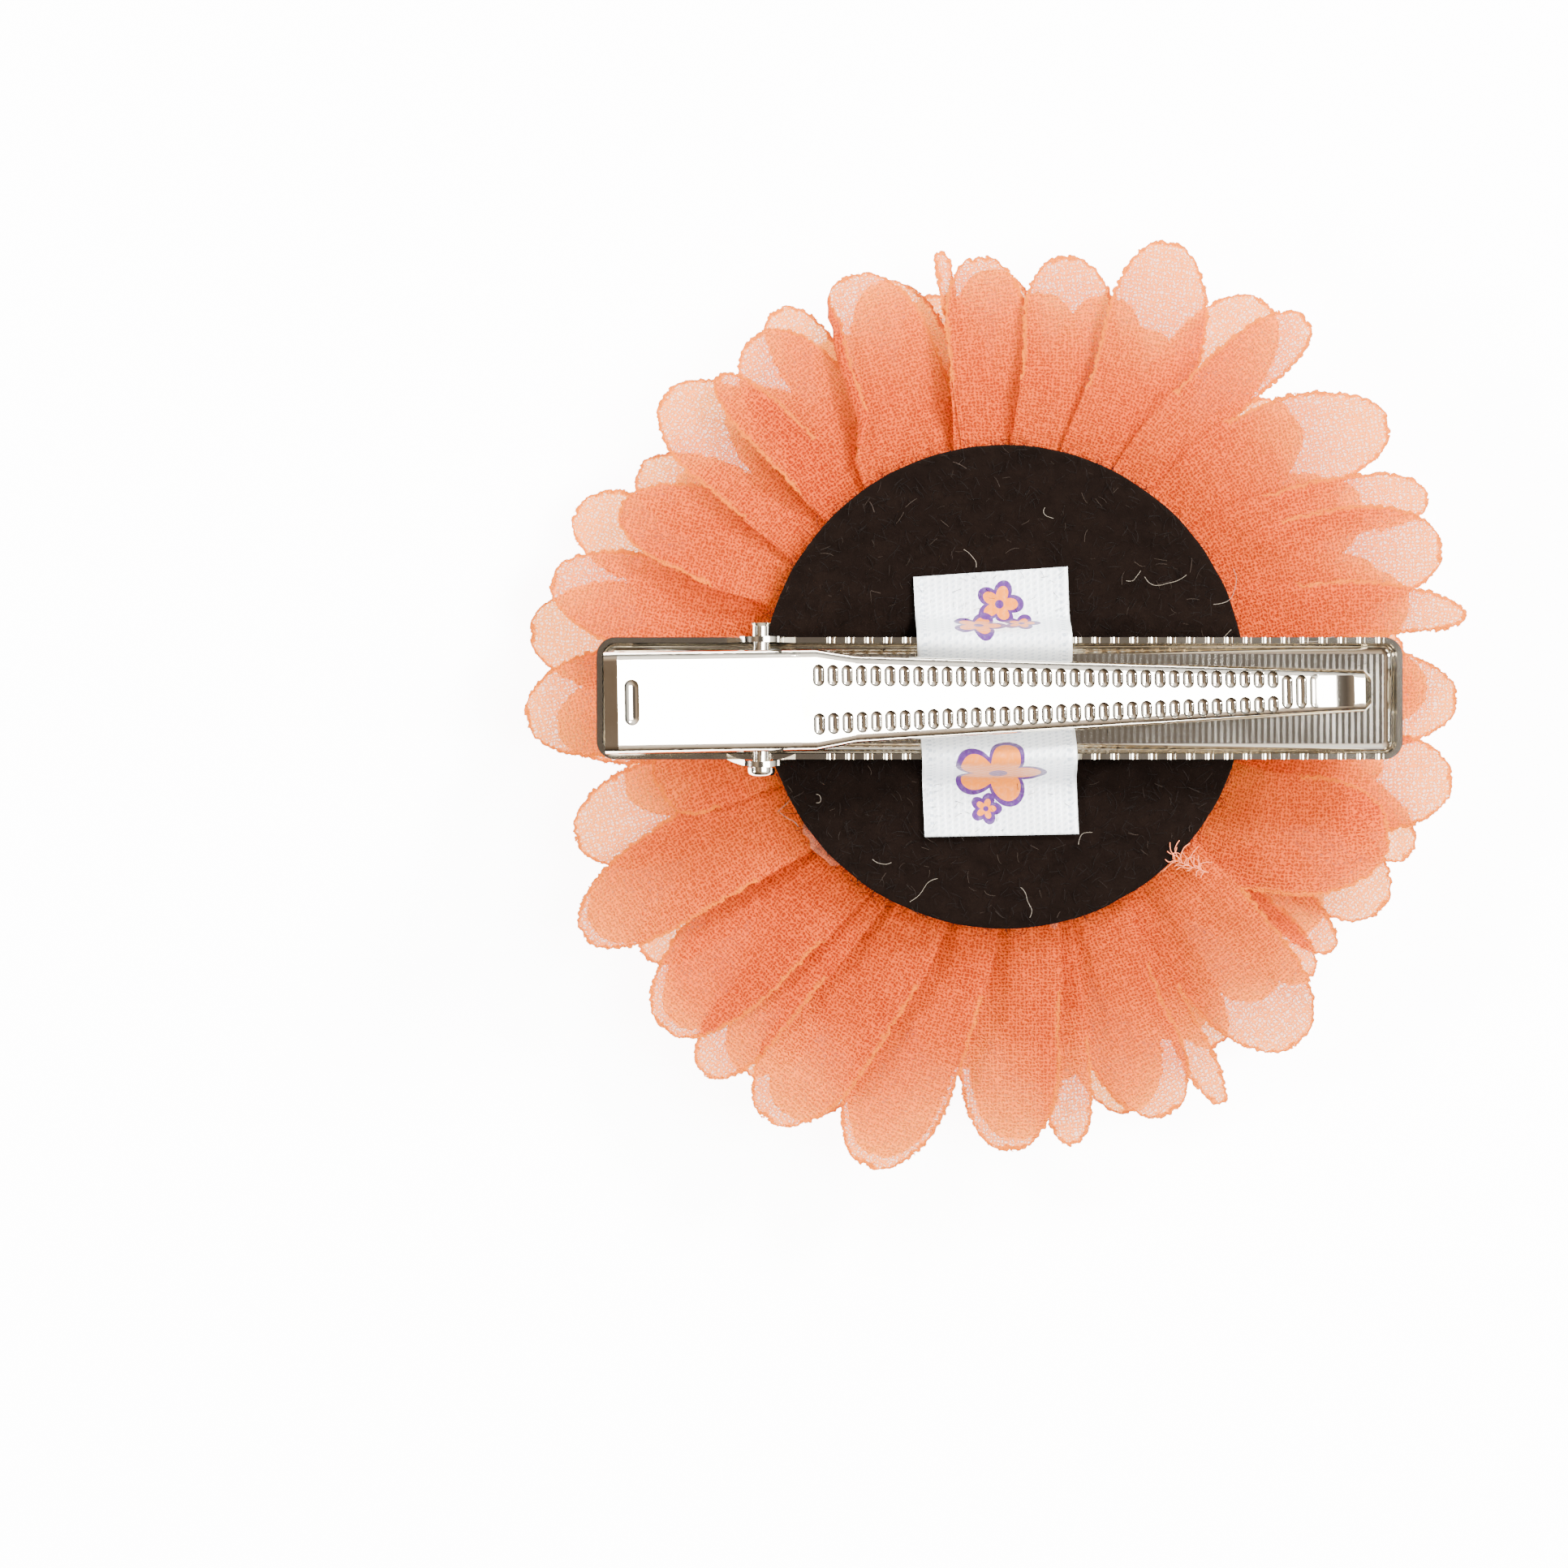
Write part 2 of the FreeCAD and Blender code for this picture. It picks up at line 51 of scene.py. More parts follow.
# ---- Chiffon strip: the five wound turns --------------------------------------------------------
# One long strip of crepe chiffon, knife-pleated and gathered along one edge and cut with a hot knife
# into petals along the other. Each turn is one continuous cloth: the petals are joined by the pleats'
# return folds below their slits. Sizes here are millimetres and degrees.
def chiffon():
    mat = bpy.data.materials.new("crepe chiffon")
    mat.use_nodes = True
    nodes, links = mat.node_tree.nodes, mat.node_tree.links
    nodes.clear()
    new = nodes.new

    def math_node(kind, a, b=None, clamp=False):
        node = new("ShaderNodeMath")
        node.operation = kind
        node.use_clamp = clamp
        for socket, value in zip(node.inputs, (a, b)):
            if value is None:
                continue
            if isinstance(value, (int, float)):
                socket.default_value = value
            else:
                links.new(value, socket)
        return node.outputs[0]

    def ramp(value, low, high):
        node = new("ShaderNodeMapRange")
        node.interpolation_type = "SMOOTHSTEP"
        links.new(value, node.inputs["Value"])
        node.inputs["From Min"].default_value = low
        node.inputs["From Max"].default_value = high
        return node.outputs["Result"]

    cloth = new("ShaderNodeAttribute")
    cloth.attribute_name = "cloth"  # millimetres across and along the strip, and a shift per petal
    rim = new("ShaderNodeAttribute")
    rim.attribute_name = "rim"      # millimetres from the cut edge

    wander = new("ShaderNodeTexNoise")
    wander.inputs["Scale"].default_value = 3.0
    wander.inputs["Detail"].default_value = 2
    links.new(cloth.outputs["Vector"], wander.inputs["Vector"])
    shift = new("ShaderNodeVectorMath")
    shift.operation = "MULTIPLY_ADD"
    links.new(wander.outputs["Color"], shift.inputs[0])
    shift.inputs[1].default_value = (0.58, 0.58, 0)
    links.new(cloth.outputs["Vector"], shift.inputs[2])
    split = new("ShaderNodeSeparateXYZ")
    links.new(shift.outputs[0], split.inputs[0])
    yarn_pitch = 0.26
    across, along = (
        math_node("ABSOLUTE", math_node("SINE", math_node("MULTIPLY", way, math.pi / yarn_pitch)))
        for way in (split.outputs["X"], split.outputs["Y"]))
    cell = math_node("MULTIPLY", across, along)

    yarn = new("ShaderNodeTexNoise")  # thick and thin places in the crepe yarn
    yarn.inputs["Scale"].default_value = 3.2
    yarn.inputs["Detail"].default_value = 3
    links.new(cloth.outputs["Vector"], yarn.inputs["Vector"])
    uneven = math_node("MULTIPLY", math_node("SUBTRACT", yarn.outputs["Fac"], 0.5), 1.1)
    gap = ramp(math_node("ADD", cell, uneven), 0.46, 0.86)

    jag = new("ShaderNodeTexNoise")  # the melted edge is slightly ragged
    jag.inputs["Scale"].default_value = 2.6
    jag.inputs["Detail"].default_value = 3
    links.new(cloth.outputs["Vector"], jag.inputs["Vector"])
    bitten = math_node("MULTIPLY", math_node("SUBTRACT", jag.outputs["Fac"], 0.35), 0.75)
    ragged = math_node("SUBTRACT", rim.outputs["Fac"], bitten)
    kept = ramp(ragged, 0.0, 0.05)
    melted = ramp(ragged, 0.36, 0.12)

    yarns = new("ShaderNodeMix")  # painted shade: the gaps between the yarns are painted darker than their rounded tops
    yarns.data_type = "RGBA"
    painted_gap_shade = math_node("ADD", cell, math_node("MULTIPLY", yarn.outputs["Fac"], 0.6))
    links.new(ramp(painted_gap_shade, 0.25, 1.1), yarns.inputs["Factor"])
    yarns.inputs["A"].default_value = (0.76, 0.104, 0.012, 1)
    yarns.inputs["B"].default_value = (0.30, 0.021, 0.0015, 1)
    hue = new("ShaderNodeMix")
    hue.data_type = "RGBA"
    links.new(melted, hue.inputs["Factor"])
    links.new(yarns.outputs["Result"], hue.inputs["A"])
    hue.inputs["B"].default_value = (0.60, 0.120, 0.002, 1)

    raised = new("ShaderNodeBump")
    raised.inputs["Strength"].default_value = 0.8
    raised.inputs["Distance"].default_value = 0.00008
    thick_and_thin = math_node("MULTIPLY", yarn.outputs["Fac"], 1.5)
    links.new(math_node("ADD", math_node("MULTIPLY", cell, -1.0), thick_and_thin), raised.inputs["Height"])

    front = new("ShaderNodeBsdfDiffuse")
    through = new("ShaderNodeBsdfTranslucent")
    paler = new("ShaderNodeMix")  # light that comes through the cloth is paler and more yellow
    paler.data_type = "RGBA"
    links.new(math_node("SUBTRACT", 0.6, math_node("MULTIPLY", melted, 0.5)), paler.inputs["Factor"])
    links.new(hue.outputs["Result"], paler.inputs["A"])
    paler.inputs["B"].default_value = (0.98, 0.46, 0.06, 1)
    for shader, tint in ((front, hue), (through, paler)):
        links.new(tint.outputs["Result"], shader.inputs["Color"])
        links.new(raised.outputs["Normal"], shader.inputs["Normal"])
    threads = new("ShaderNodeMixShader")
    links.new(math_node("SUBTRACT", 0.4, math_node("MULTIPLY", melted, 0.28)), threads.inputs["Fac"])
    links.new(front.outputs[0], threads.inputs[1])
    links.new(through.outputs[0], threads.inputs[2])
    clear = new("ShaderNodeBsdfTransparent")
    filled = math_node("MULTIPLY", math_node("SUBTRACT", 1.0, gap), 0.12)
    sealed = math_node("ADD", 0.87, math_node("MULTIPLY", melted, 0.3))
    cover = math_node("MULTIPLY", kept, math_node("ADD", filled, sealed, clamp=True))
    sheer = new("ShaderNodeMixShader")
    links.new(cover, sheer.inputs["Fac"])
    links.new(clear.outputs[0], sheer.inputs[1])
    links.new(threads.outputs[0], sheer.inputs[2])
    out = new("ShaderNodeOutputMaterial")
    links.new(sheer.outputs[0], out.inputs["Surface"])
    return mat


def turn_height(turn, r):
    """How high a turn's cloth lies at that radius: gathered under the felt, then spreading to its tips."""
    root_r, bend, reach, tip = turn["root"], turn["bend"], turn["reach"], turn["tip"]
    if r < root_r + 0.8:
        share = (r - root_r) / 0.8
        return 11.45 + (bend - 11.45) * share
    share = (r - root_r - 0.8) / (reach - root_r - 0.8)
    return bend + (tip - bend) * share ** turn["sag"]


def strip_turn(name, turn, petals):
    """Builds one turn's cloth. A petal is (root angle, tip angle, reach, half width, {options})."""
    rng = random.Random(turn["seed"])
    petals = sorted(petals, key=lambda p: p[0])
    columns, root_rows, rows = 23, 9, 44
    root_r, fold_r = turn["root"], turn["slit"]
    points, cloth, rims, faces, starts = [], [], [], [], []
    for index, (root, tip, reach, half, options) in enumerate(petals):
        tilt = options.get("tilt", turn["tilt"])
        blunt = options.get("blunt", 1.7)
        root_half = options.get("root_half", half)
        bow, lift = options.get("bow", 0.0), options.get("lift", 0.0)
        curl = options.get("curl", rng.uniform(-0.5, 0.6))
        cup = options.get("cup", rng.uniform(-0.02, 0.03))
        flap, slit = options.get("flap", 0.0), options.get("slit", fold_r)
        side = -1 if flap < 0 else 1
        phase, waves = rng.uniform(0, 6.28), rng.uniform(2.3, 3.4)
        patch = Vector((rng.uniform(0, 90), rng.uniform(0, 90), rng.uniform(0, 90)))
        starts.append(len(points))
        edge_r = min(16.4, reach - 6)
        a, b = math.radians(root), math.radians(tip)
        start = Vector((math.cos(a), math.sin(a))) * edge_r
        end = Vector((math.cos(b), math.sin(b))) * reach
        control = start + start.normalized() * (end - start).length * 0.45
        chord = (end - start).normalized()
        control += Vector((-chord.y, chord.x)) * bow * 2
        length = (end - start).length
        for row in range(rows):
            if row < root_rows:
                r = root_r + (edge_r - root_r) * row / root_rows
                centre = Vector((math.cos(a), math.sin(a))) * r
                ahead = centre.normalized()
                free, f = length + edge_r - r, 0.0
                narrow = 0.55 + 0.45 * (r - root_r) / (edge_r - root_r)
                width = root_half * narrow
            else:
                f = (row - root_rows) / (rows - 1 - root_rows)
                f = 1 - (1 - f) ** 1.35
                centre = start * (1 - f) ** 2 + control * 2 * f * (1 - f) + end * f * f
                ahead = ((control - start) * (1 - f) + (end - control) * f).normalized()
                free = length * (1 - f)
                grow = min(f * 2.5, 1)
                width = root_half + (half - root_half) * grow * grow * (3 - 2 * grow)
            cap = half * blunt
            if free < cap:
                width *= max(1 - (1 - free / cap) ** 2.3, 0.0) ** 0.5 * 0.985 + 0.015
            width *= 1 + 0.05 * noise.noise(Vector((f * 4, index * 3.1, turn["seed"])))
            sideways = Vector((-ahead.y, ahead.x))
            for column in range(columns):
                u = column / (columns - 1) * 2 - 1
                s = u * width
                raised = 0.0
                fold = abs(flap) * min(1, max(0, (f - 0.12) * 5)) * min(1, free / 3)
                over = s * side - (width - fold)
                if fold > 0 and over > 0:
                    s = side * (width - fold - over * 0.9)
                    raised = 0.22 * min(1, over / 0.35) + 0.1
                r_here = (centre + sideways * s).length
                z = turn_height(turn, min(max(r_here, root_r), turn["reach"] + 2)) + lift * min(1, f * 2.2)
                z += tilt * s * (0.7 + 1.5 * min(f * 3, 1) - 1.6 * f)
                z += cup * s * s * f + curl * f ** 3 + raised
                fade = min(1, max(0, (r_here - root_r) / 4)) * (1 - 0.75 * f)
                z += 0.08 * fade * math.sin(waves * s * 0.7 + phase)
                z += 0.02 * fade * math.sin(waves * 2.7 * s - phase)
                drift = Vector((r_here * 0.16, s * 0.22, index * 7.7 + turn["seed"]))
                z += 0.75 * f * noise.noise(drift) + 0.12 * noise.noise(drift * 4)
                flat = Vector((u * width, root_r + free * -1, 0)) + patch
                x, y = centre + sideways * s
                points.append((x / 1000 + AXIS.x, y / 1000 + AXIS.y, max(z, 0.12) / 1000))
                cloth.append(flat)
                rim = min(width * (1 - abs(u)), free)
                along_r = r_here - slit
                rims.append(rim + max(0.0, min(1.0, 0.5 - along_r)) * 4)
        base = starts[-1]
        for row in range(rows - 1):
            for column in range(columns - 1):
                k = base + row * columns + column
                faces.append((k, k + columns, k + columns + 1, k + 1))
    # Below the slits, each petal's upper edge folds back under to its neighbour's lower edge.
    for i, base in enumerate(starts):
        other = starts[(i + 1) % len(starts)]
        for row in range(root_rows - 1):
            k, j = base + row * columns + columns - 1, other + row * columns
            faces.append((k, k + columns, j + columns, j))
    mesh = bpy.data.meshes.new(name)
    mesh.from_pydata(points, [], faces)
    mesh.attributes.new("cloth", "FLOAT_VECTOR", "POINT").data.foreach_set(
        "vector", np.array(cloth, np.float32).ravel())
    mesh.attributes.new("rim", "FLOAT", "POINT").data.foreach_set("value", np.array(rims, np.float32))
    mesh.polygons.foreach_set("use_smooth", [True] * len(mesh.polygons))
    mesh.materials.append(bpy.data.materials.get("crepe chiffon") or chiffon())
    obj = bpy.data.objects.new(name, mesh)
    bpy.context.collection.objects.link(obj)
    return obj


back_petals = [
    (91.5, 93.5, 29.6, 3.0, {"root_half": 3.0, "cup": -0.02}),
    (97.5, 98.2, 30.2, 0.75, {"lift": -0.2, "blunt": 1.3, "tilt": 0.9}),
    (76.5, 82.3, 29.9, 3.5, {}),
    (64.0, 69.8, 32.7, 3.7, {"curl": 0.2}),
    (54.5, 50.2, 32.8, 2.3, {"root_half": 2.6, "bow": 0.5, "lift": 0.7, "cup": -0.09, "slit": 22.5}),
    (43.5, 34.0, 32.1, 3.6, {"root_half": 2.8, "bow": 0.2, "slit": 22.7}),
    (33.0, 23.8, 32.0, 2.1, {"lift": 0.2, "slit": 21.4, "cup": -0.07}),
    (23.5, 17.3, 31.6, 3.5, {"root_half": 2.6, "slit": 21.4}),
    (13.0, 8.6, 32.2, 2.1, {"root_half": 3.0, "blunt": 4.2, "bow": 0.5, "cup": -0.08}),
    (-2.0, -1.5, 31.2, 3.5, {}),
    (-17.0, -11.5, 31.6, 3.7, {"lift": -0.6}),
    (-33.0, -20.0, 28.2, 4.2, {"blunt": 1.2, "bow": 0.6, "lift": 0.9, "tilt": 0.1, "curl": -0.8}),
    (-51.0, -50.0, 31.8, 4.0, {"root_half": 3.6}),
    (-62.5, -62.2, 32.4, 1.3, {"root_half": 1.8, "blunt": 3.0, "slit": 22.8}),
    (-71.5, -68.3, 31.4, 3.4, {"bow": -0.2}),
    (-80.5, -81.4, 31.8, 1.9, {"blunt": 2.2, "slit": 23.8, "lift": -0.1}),
    (-89.0, -89.3, 31.8, 3.6, {"bow": 0.0}),
    (-104.0, -106.2, 34.2, 3.6, {"bow": 0.4}),
    (-116.0, -119.0, 33.8, 3.6, {"bow": 0.3}),
    (-127.0, -127.8, 33.6, 2.5, {"slit": 22.7, "lift": -0.1}),
    (-136.0, -135.0, 33.1, 3.9, {}),
    (-151.5, -149.3, 33.5, 3.5, {"lift": 0.9, "blunt": 2.2, "curl": -0.3}),
    (-166.0, -163.0, 24.6, 2.9, {"blunt": 0.8, "lift": 0.4}),
    (-180.0, -176.0, 32.8, 3.9, {}),
    (167.5, 166.3, 31.9, 3.6, {"blunt": 2.0}),
    (149.5, 155.3, 29.0, 3.4, {"bow": 0.4, "blunt": 2.2, "lift": 0.5}),
    (137.0, 139.3, 30.7, 3.7, {"lift": -0.3}),
    (131.5, 132.7, 28.9, 1.8, {"lift": 1.0, "slit": 18.6, "blunt": 2.2}),
    (125.0, 125.2, 29.6, 3.6, {}),
    (111.0, 110.3, 30.2, 4.1, {"flap": 1.2, "blunt": 1.5}),
]
second_petals = [
    (58, 55.5, 32.2, 3.6, {}),
    (43, 42.0, 27.4, 2.6, {}),
    (28, 28, 28.0, 3.4, {}),
    (14, 12, 28.6, 3.4, {}),
    (0, 0, 29.2, 3.4, {}),
    (-14, -22.5, 30.4, 2.4, {}),
    (-27, -30.0, 30.4, 3.5, {}),
    (-36, -38.5, 29.2, 1.9, {"blunt": 2.5}),
    (-44, -43.0, 29.2, 2.3, {}),
    (-58, -59.0, 28.8, 2.0, {}),
    (-72, -73, 30.6, 3.4, {}),
    (-87, -88.5, 31.2, 3.4, {}),
    (-103, -105.5, 33.4, 3.4, {}),
    (-114, -117, 33.0, 3.6, {}),
    (-124, -124.5, 32.0, 3.0, {}),
    (-134, -135.0, 32.3, 3.4, {}),
    (-143, -143.4, 30.9, 2.4, {}),
    (-151, -149.6, 32.7, 3.3, {}),
    (-160, -160.5, 31.2, 3.8, {}),
    (-176, -175, 30.8, 3.4, {}),
    (172, 173.0, 32.8, 3.9, {}),
    (158, 157.5, 31.9, 3.2, {}),
    (146, 149.5, 29.2, 3.0, {}),
    (132, 131.0, 26.5, 3.4, {}),
    (120, 121.0, 30.4, 2.4, {}),
    (106, 107, 29.2, 3.5, {}),
    (91, 91.5, 28.8, 3.4, {}),
    (74, 74, 28.0, 3.4, {}),
]
turns = [dict(zip(("seed", "root", "bend", "reach", "tip", "sag", "slit", "tilt"), row)) for row in (
    (3, 9.0, 11.3, 32.5, 7.4, 1.5, 20.5, 0.21),
    (11, 7.4, 9.9, 31.0, 5.6, 1.35, 19.5, 0.16),
    (23, 5.8, 8.5, 27.6, 3.9, 1.2, 17.5, 0.15),
    (37, 4.2, 7.0, 23.6, 2.2, 1.1, 14.5, 0.14),
    (51, 2.6, 5.4, 18.6, 0.6, 1.0, 11.0, 0.12),
)]
for number, (turn, count) in enumerate(zip(turns, (0, 0, 22, 18, 14)), 1):
    if number == 1:
        petals = back_petals
    elif number == 2:
        petals = second_petals
    else:
        rng = random.Random(turn["seed"])
        petals = []
        for k in range(count):
            root = (k + rng.uniform(-0.15, 0.15)) * 360 / count
            petals.append((root, root + rng.uniform(-4, 4), turn["reach"] + rng.uniform(-1.2, 0.6),
                           rng.uniform(3.0, 3.6), {"root_half": 2.9}))
    obj = strip_turn(f"chiffon_turn_{number}", turn, petals)
    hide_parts(f"petal_turn_{number}")
    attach(obj, FIXED)
    width, length = (turn["reach"] - turn["root"]) / 1000, sum(2 * p[3] for p in petals) / 1000


# ---- Frayed end of the strip --------------------------------------------------------------------
# Loose yarns where the strip's cut end comes out from under the felt, over the two petals there.
# Polyester yarn the colour of the chiffon, but paler, because single filaments let the light through.
felt_x, felt_y, felt_r = 0.3, 1.05, 16.35  # the felt disc's middle and radius, in millimetres
rng = random.Random(4)
yarns = bpy.data.curves.new("frayed_end", "CURVE")
yarns.dimensions = "3D"
yarns.bevel_depth = 0.000028
yarns.bevel_resolution = 1
for k in range(26):
    share = k / 25
    angle, r = math.radians(-45.6 + 3.4 * share), 16.3 + 2.4 * share
    x, y = felt_x + r * math.cos(angle), felt_y + r * math.sin(angle)
    heading, length = math.radians(135 + rng.uniform(-70, 70)), rng.uniform(0.6, 1.9) * (1.2 - 0.7 * share)
    spline = yarns.splines.new("NURBS")
    spline.points.add(4)
    for step, point in enumerate(spline.points):
        height = 13.38 if math.hypot(x - felt_x, y - felt_y) < felt_r + 0.25 else 12.75
        point.co = (x / 1000, y / 1000, height / 1000 + rng.uniform(-0.00008, 0.00012), 1)
        x += math.cos(heading) * length / 4
        y += math.sin(heading) * length / 4
        heading += rng.uniform(-0.9, 0.9)
    spline.order_u = 3
    spline.use_endpoint_u = True
drawn = bpy.data.objects.new("frayed_curves", yarns)
bpy.context.collection.objects.link(drawn)
frayed_mesh = bpy.data.meshes.new_from_object(drawn.evaluated_get(bpy.context.evaluated_depsgraph_get()))
bpy.data.objects.remove(drawn)
frayed = bpy.data.objects.new("frayed_end", frayed_mesh)
bpy.context.collection.objects.link(frayed)
yarn = bpy.data.materials.new("loose chiffon yarn")
yarn.use_nodes = True
body = yarn.node_tree.nodes["Principled BSDF"]
body.inputs["Base Color"].default_value = (0.80, 0.20, 0.075, 1)
body.inputs["Roughness"].default_value = 0.6
frayed_mesh.materials.clear()
frayed_mesh.materials.append(yarn)
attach(frayed, FIXED)


# ---- Centre bud ---------------------------------------------------------------------------------
# The strip's first wraps, rolled tight round themselves and opening into short petals at the front.
# The same chiffon; its gathered edge is stitched and glued with the turns round it.
wraps, per_wrap, rows = 3.2, 60, 26
points, cloth, rims, faces = [], [], [], []
steps = int(wraps * per_wrap)
for i in range(steps + 1):
    angle = math.tau * i / per_wrap
    share = i / steps
    scallop = abs(math.sin(angle * 2.5 + 0.6)) ** 0.6
    for row in range(rows):
        up = row / (rows - 1)
        z = 11.5 - up * (11.1 - 1.9 * (1 - scallop) - 0.8 * (1 - share))
        flare = max(0, (up - 0.55) / 0.45) ** 2
        r = 0.35 + 1.5 * share + flare * (0.5 + 2.1 * share) + 0.1 * noise.noise(Vector((angle, up * 3, 4)))
        points.append((math.cos(angle) * r / 1000 + AXIS.x, math.sin(angle) * r / 1000 + AXIS.y, z / 1000))
        cloth.append((angle * 1.6, z, share * 20))
        rims.append((1 - up) * 11 + max(0, 0.3 - scallop * 0.3))
    if i:
        for row in range(rows - 1):
            k = (i - 1) * rows + row
            faces.append((k, k + rows, k + rows + 1, k + 1))
mesh = bpy.data.meshes.new("rolled_bud")
mesh.from_pydata(points, [], faces)
mesh.attributes.new("cloth", "FLOAT_VECTOR", "POINT").data.foreach_set(
    "vector", np.array(cloth, np.float32).ravel())
mesh.attributes.new("rim", "FLOAT", "POINT").data.foreach_set("value", np.array(rims, np.float32))
mesh.polygons.foreach_set("use_smooth", [True] * len(mesh.polygons))
mesh.materials.append(bpy.data.materials["crepe chiffon"])
bud = bpy.data.objects.new("rolled_bud", mesh)
bpy.context.collection.objects.link(bud)
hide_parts("centre_bud")
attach(bud, FIXED)


# ---- Gathering thread ---------------------------------------------------------------------------
# The running stitch that draws the strip's inner edge together, as the CAD has it: twisted polyester
# sewing thread dyed to match the cloth.
stitch = bpy.data.materials.new("sewing thread")
stitch.use_nodes = True
nodes, links = stitch.node_tree.nodes, stitch.node_tree.links
body = nodes["Principled BSDF"]
body.inputs["Base Color"].default_value = (0.55, 0.09, 0.02, 1)
body.inputs["Roughness"].default_value = 0.55
place = nodes.new("ShaderNodeTexCoord")
twist = nodes.new("ShaderNodeTexWave")
twist.bands_direction = "DIAGONAL"
twist.inputs["Scale"].default_value = 2600
links.new(place.outputs["Object"], twist.inputs["Vector"])
raised = nodes.new("ShaderNodeBump")
raised.inputs["Strength"].default_value = 0.6
raised.inputs["Distance"].default_value = 0.00003
links.new(twist.outputs["Fac"], raised.inputs["Height"])
links.new(raised.outputs["Normal"], body.inputs["Normal"])
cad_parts["gathering_thread"].data.materials.clear()
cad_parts["gathering_thread"].data.materials.append(stitch)


# ---- Hot-melt glue between petals and felt ------------------------------------------------------
# A flat bed of cloudy glue that has squeezed out past the felt in two places: a broad smear over the
# petals on one side and a small clear bead lower down.
points, faces = [], []
around = 180
rim_mark = 1.0  # stands for the bed's uneven rim in the profile
profile = ((0.0, 11.62), (13.4, 11.62), (14.2, 11.6), (rim_mark, 11.72), (rim_mark, 11.9),
           (14.2, 11.97), (13.4, 11.98), (0.0, 11.98))
for i in range(around):
    angle = math.tau * i / around
    degrees = math.degrees(angle)
    smear = math.exp(-(((degrees - 220) / 11) ** 4)) * 2.3
    bead = math.exp(-(((degrees - 282) / 3.2) ** 2)) * 2.2
    reach = 14.6 + smear + bead + 0.5 * noise.noise(Vector((math.cos(angle) * 4, math.sin(angle) * 4, 2)))
    reach += 0.7 * (smear > 1) * noise.noise(Vector((math.cos(angle) * 22, math.sin(angle) * 22, 5)))
    for r, z in profile:
        out = reach if r == rim_mark else r
        over = max(0.0, out - 16.2) * 0.3
        points.append(((felt_x + out * math.cos(angle)) / 1000, (felt_y + out * math.sin(angle)) / 1000,
                       (z + over) / 1000))
count = len(profile)
for i in range(around):
    j = (i + 1) % around
    for k in range(count - 1):
        faces.append((i * count + k, j * count + k, j * count + k + 1, i * count + k + 1))
mesh = bpy.data.meshes.new("squeezed_glue")
mesh.from_pydata(points, [], faces)
mesh.polygons.foreach_set("use_smooth", [True] * len(mesh.polygons))
glue_bed = bpy.data.objects.new("squeezed_glue", mesh)
bpy.context.collection.objects.link(glue_bed)
glue = bpy.data.materials.new("cloudy glue")
glue.use_nodes = True
nodes, links = glue.node_tree.nodes, glue.node_tree.links
body = nodes["Principled BSDF"]
for socket, value in (("Base Color", (0.9, 0.34, 0.2, 1)), ("Roughness", 0.45), ("IOR", 1.48),
                      ("Alpha", 0.12)):
    body.inputs[socket].default_value = value
lumps = nodes.new("ShaderNodeTexNoise")
lumps.inputs["Scale"].default_value = 900
place = nodes.new("ShaderNodeTexCoord")
links.new(place.outputs["Object"], lumps.inputs["Vector"])
raised = nodes.new("ShaderNodeBump")
raised.inputs["Strength"].default_value = 0.8
raised.inputs["Distance"].default_value = 0.0002
links.new(lumps.outputs["Fac"], raised.inputs["Height"])
links.new(raised.outputs["Normal"], body.inputs["Normal"])
mesh.materials.append(glue)
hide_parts("felt_glue")
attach(glue_bed, FIXED)
for node in ("clip_glue", "ribbon_glue_north", "ribbon_glue_south"):
    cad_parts[node].data.materials.clear()
    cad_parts[node].data.materials.append(glue)


# ---- Felt disc ----------------------------------------------------------------------------------
# Black wool felt, punched out round and glued on; a little fuzzy all over, with stray pale lint.
# The fuzz is short curved fibres strewn over its faces.
points, faces = [], []
rings, around = 40, 256
for side in (0, 1):
    for ring in range(rings + 1):
        share = ring / rings
        for i in range(around):
            angle = math.tau * i / around
            ragged = 1 + 0.004 * noise.noise(Vector((math.cos(angle) * 9, math.sin(angle) * 9, 5)))
            r = felt_r * math.sin(share * math.pi / 2) * ragged
            x, y = r * math.cos(angle), r * math.sin(angle)
            edge = max(0.0, (share - 0.86) / 0.14)
            top = 13.2 - 0.2 * edge ** 2 + 0.035 * noise.noise(Vector((x * 1.3, y * 1.3, 0)))
            z = top if side else 12.02 + 0.12 * edge ** 2
            points.append(((x + felt_x) / 1000, (y + felt_y) / 1000, z / 1000))
layer = (rings + 1) * around
for ring in range(rings):
    for i in range(around):
        j = (i + 1) % around
        a, b = ring * around + i, ring * around + j
        c, d = b + around, a + around
        faces.append((a, b, c, d))
        faces.append((layer + d, layer + c, layer + b, layer + a))
for i in range(around):
    j = (i + 1) % around
    a, b = rings * around + i, rings * around + j
    faces.append((a, b, layer + b, layer + a))
mesh = bpy.data.meshes.new("felt_backing")
mesh.from_pydata(points, [], faces)
mesh.polygons.foreach_set("use_smooth", [True] * len(mesh.polygons))
felt = bpy.data.objects.new("felt_backing", mesh)
bpy.context.collection.objects.link(felt)
wool = bpy.data.materials.new("black wool felt")
wool.use_nodes = True
nodes, links = wool.node_tree.nodes, wool.node_tree.links
body = nodes["Principled BSDF"]
body.inputs["Roughness"].default_value = 0.95
body.inputs["Specular IOR Level"].default_value = 0.03
place = nodes.new("ShaderNodeTexCoord")
mottle = nodes.new("ShaderNodeTexNoise")
mottle.inputs["Scale"].default_value = 700
mottle.inputs["Detail"].default_value = 5
mottle.inputs["Roughness"].default_value = 0.7
links.new(place.outputs["Object"], mottle.inputs["Vector"])
tone = nodes.new("ShaderNodeMix")
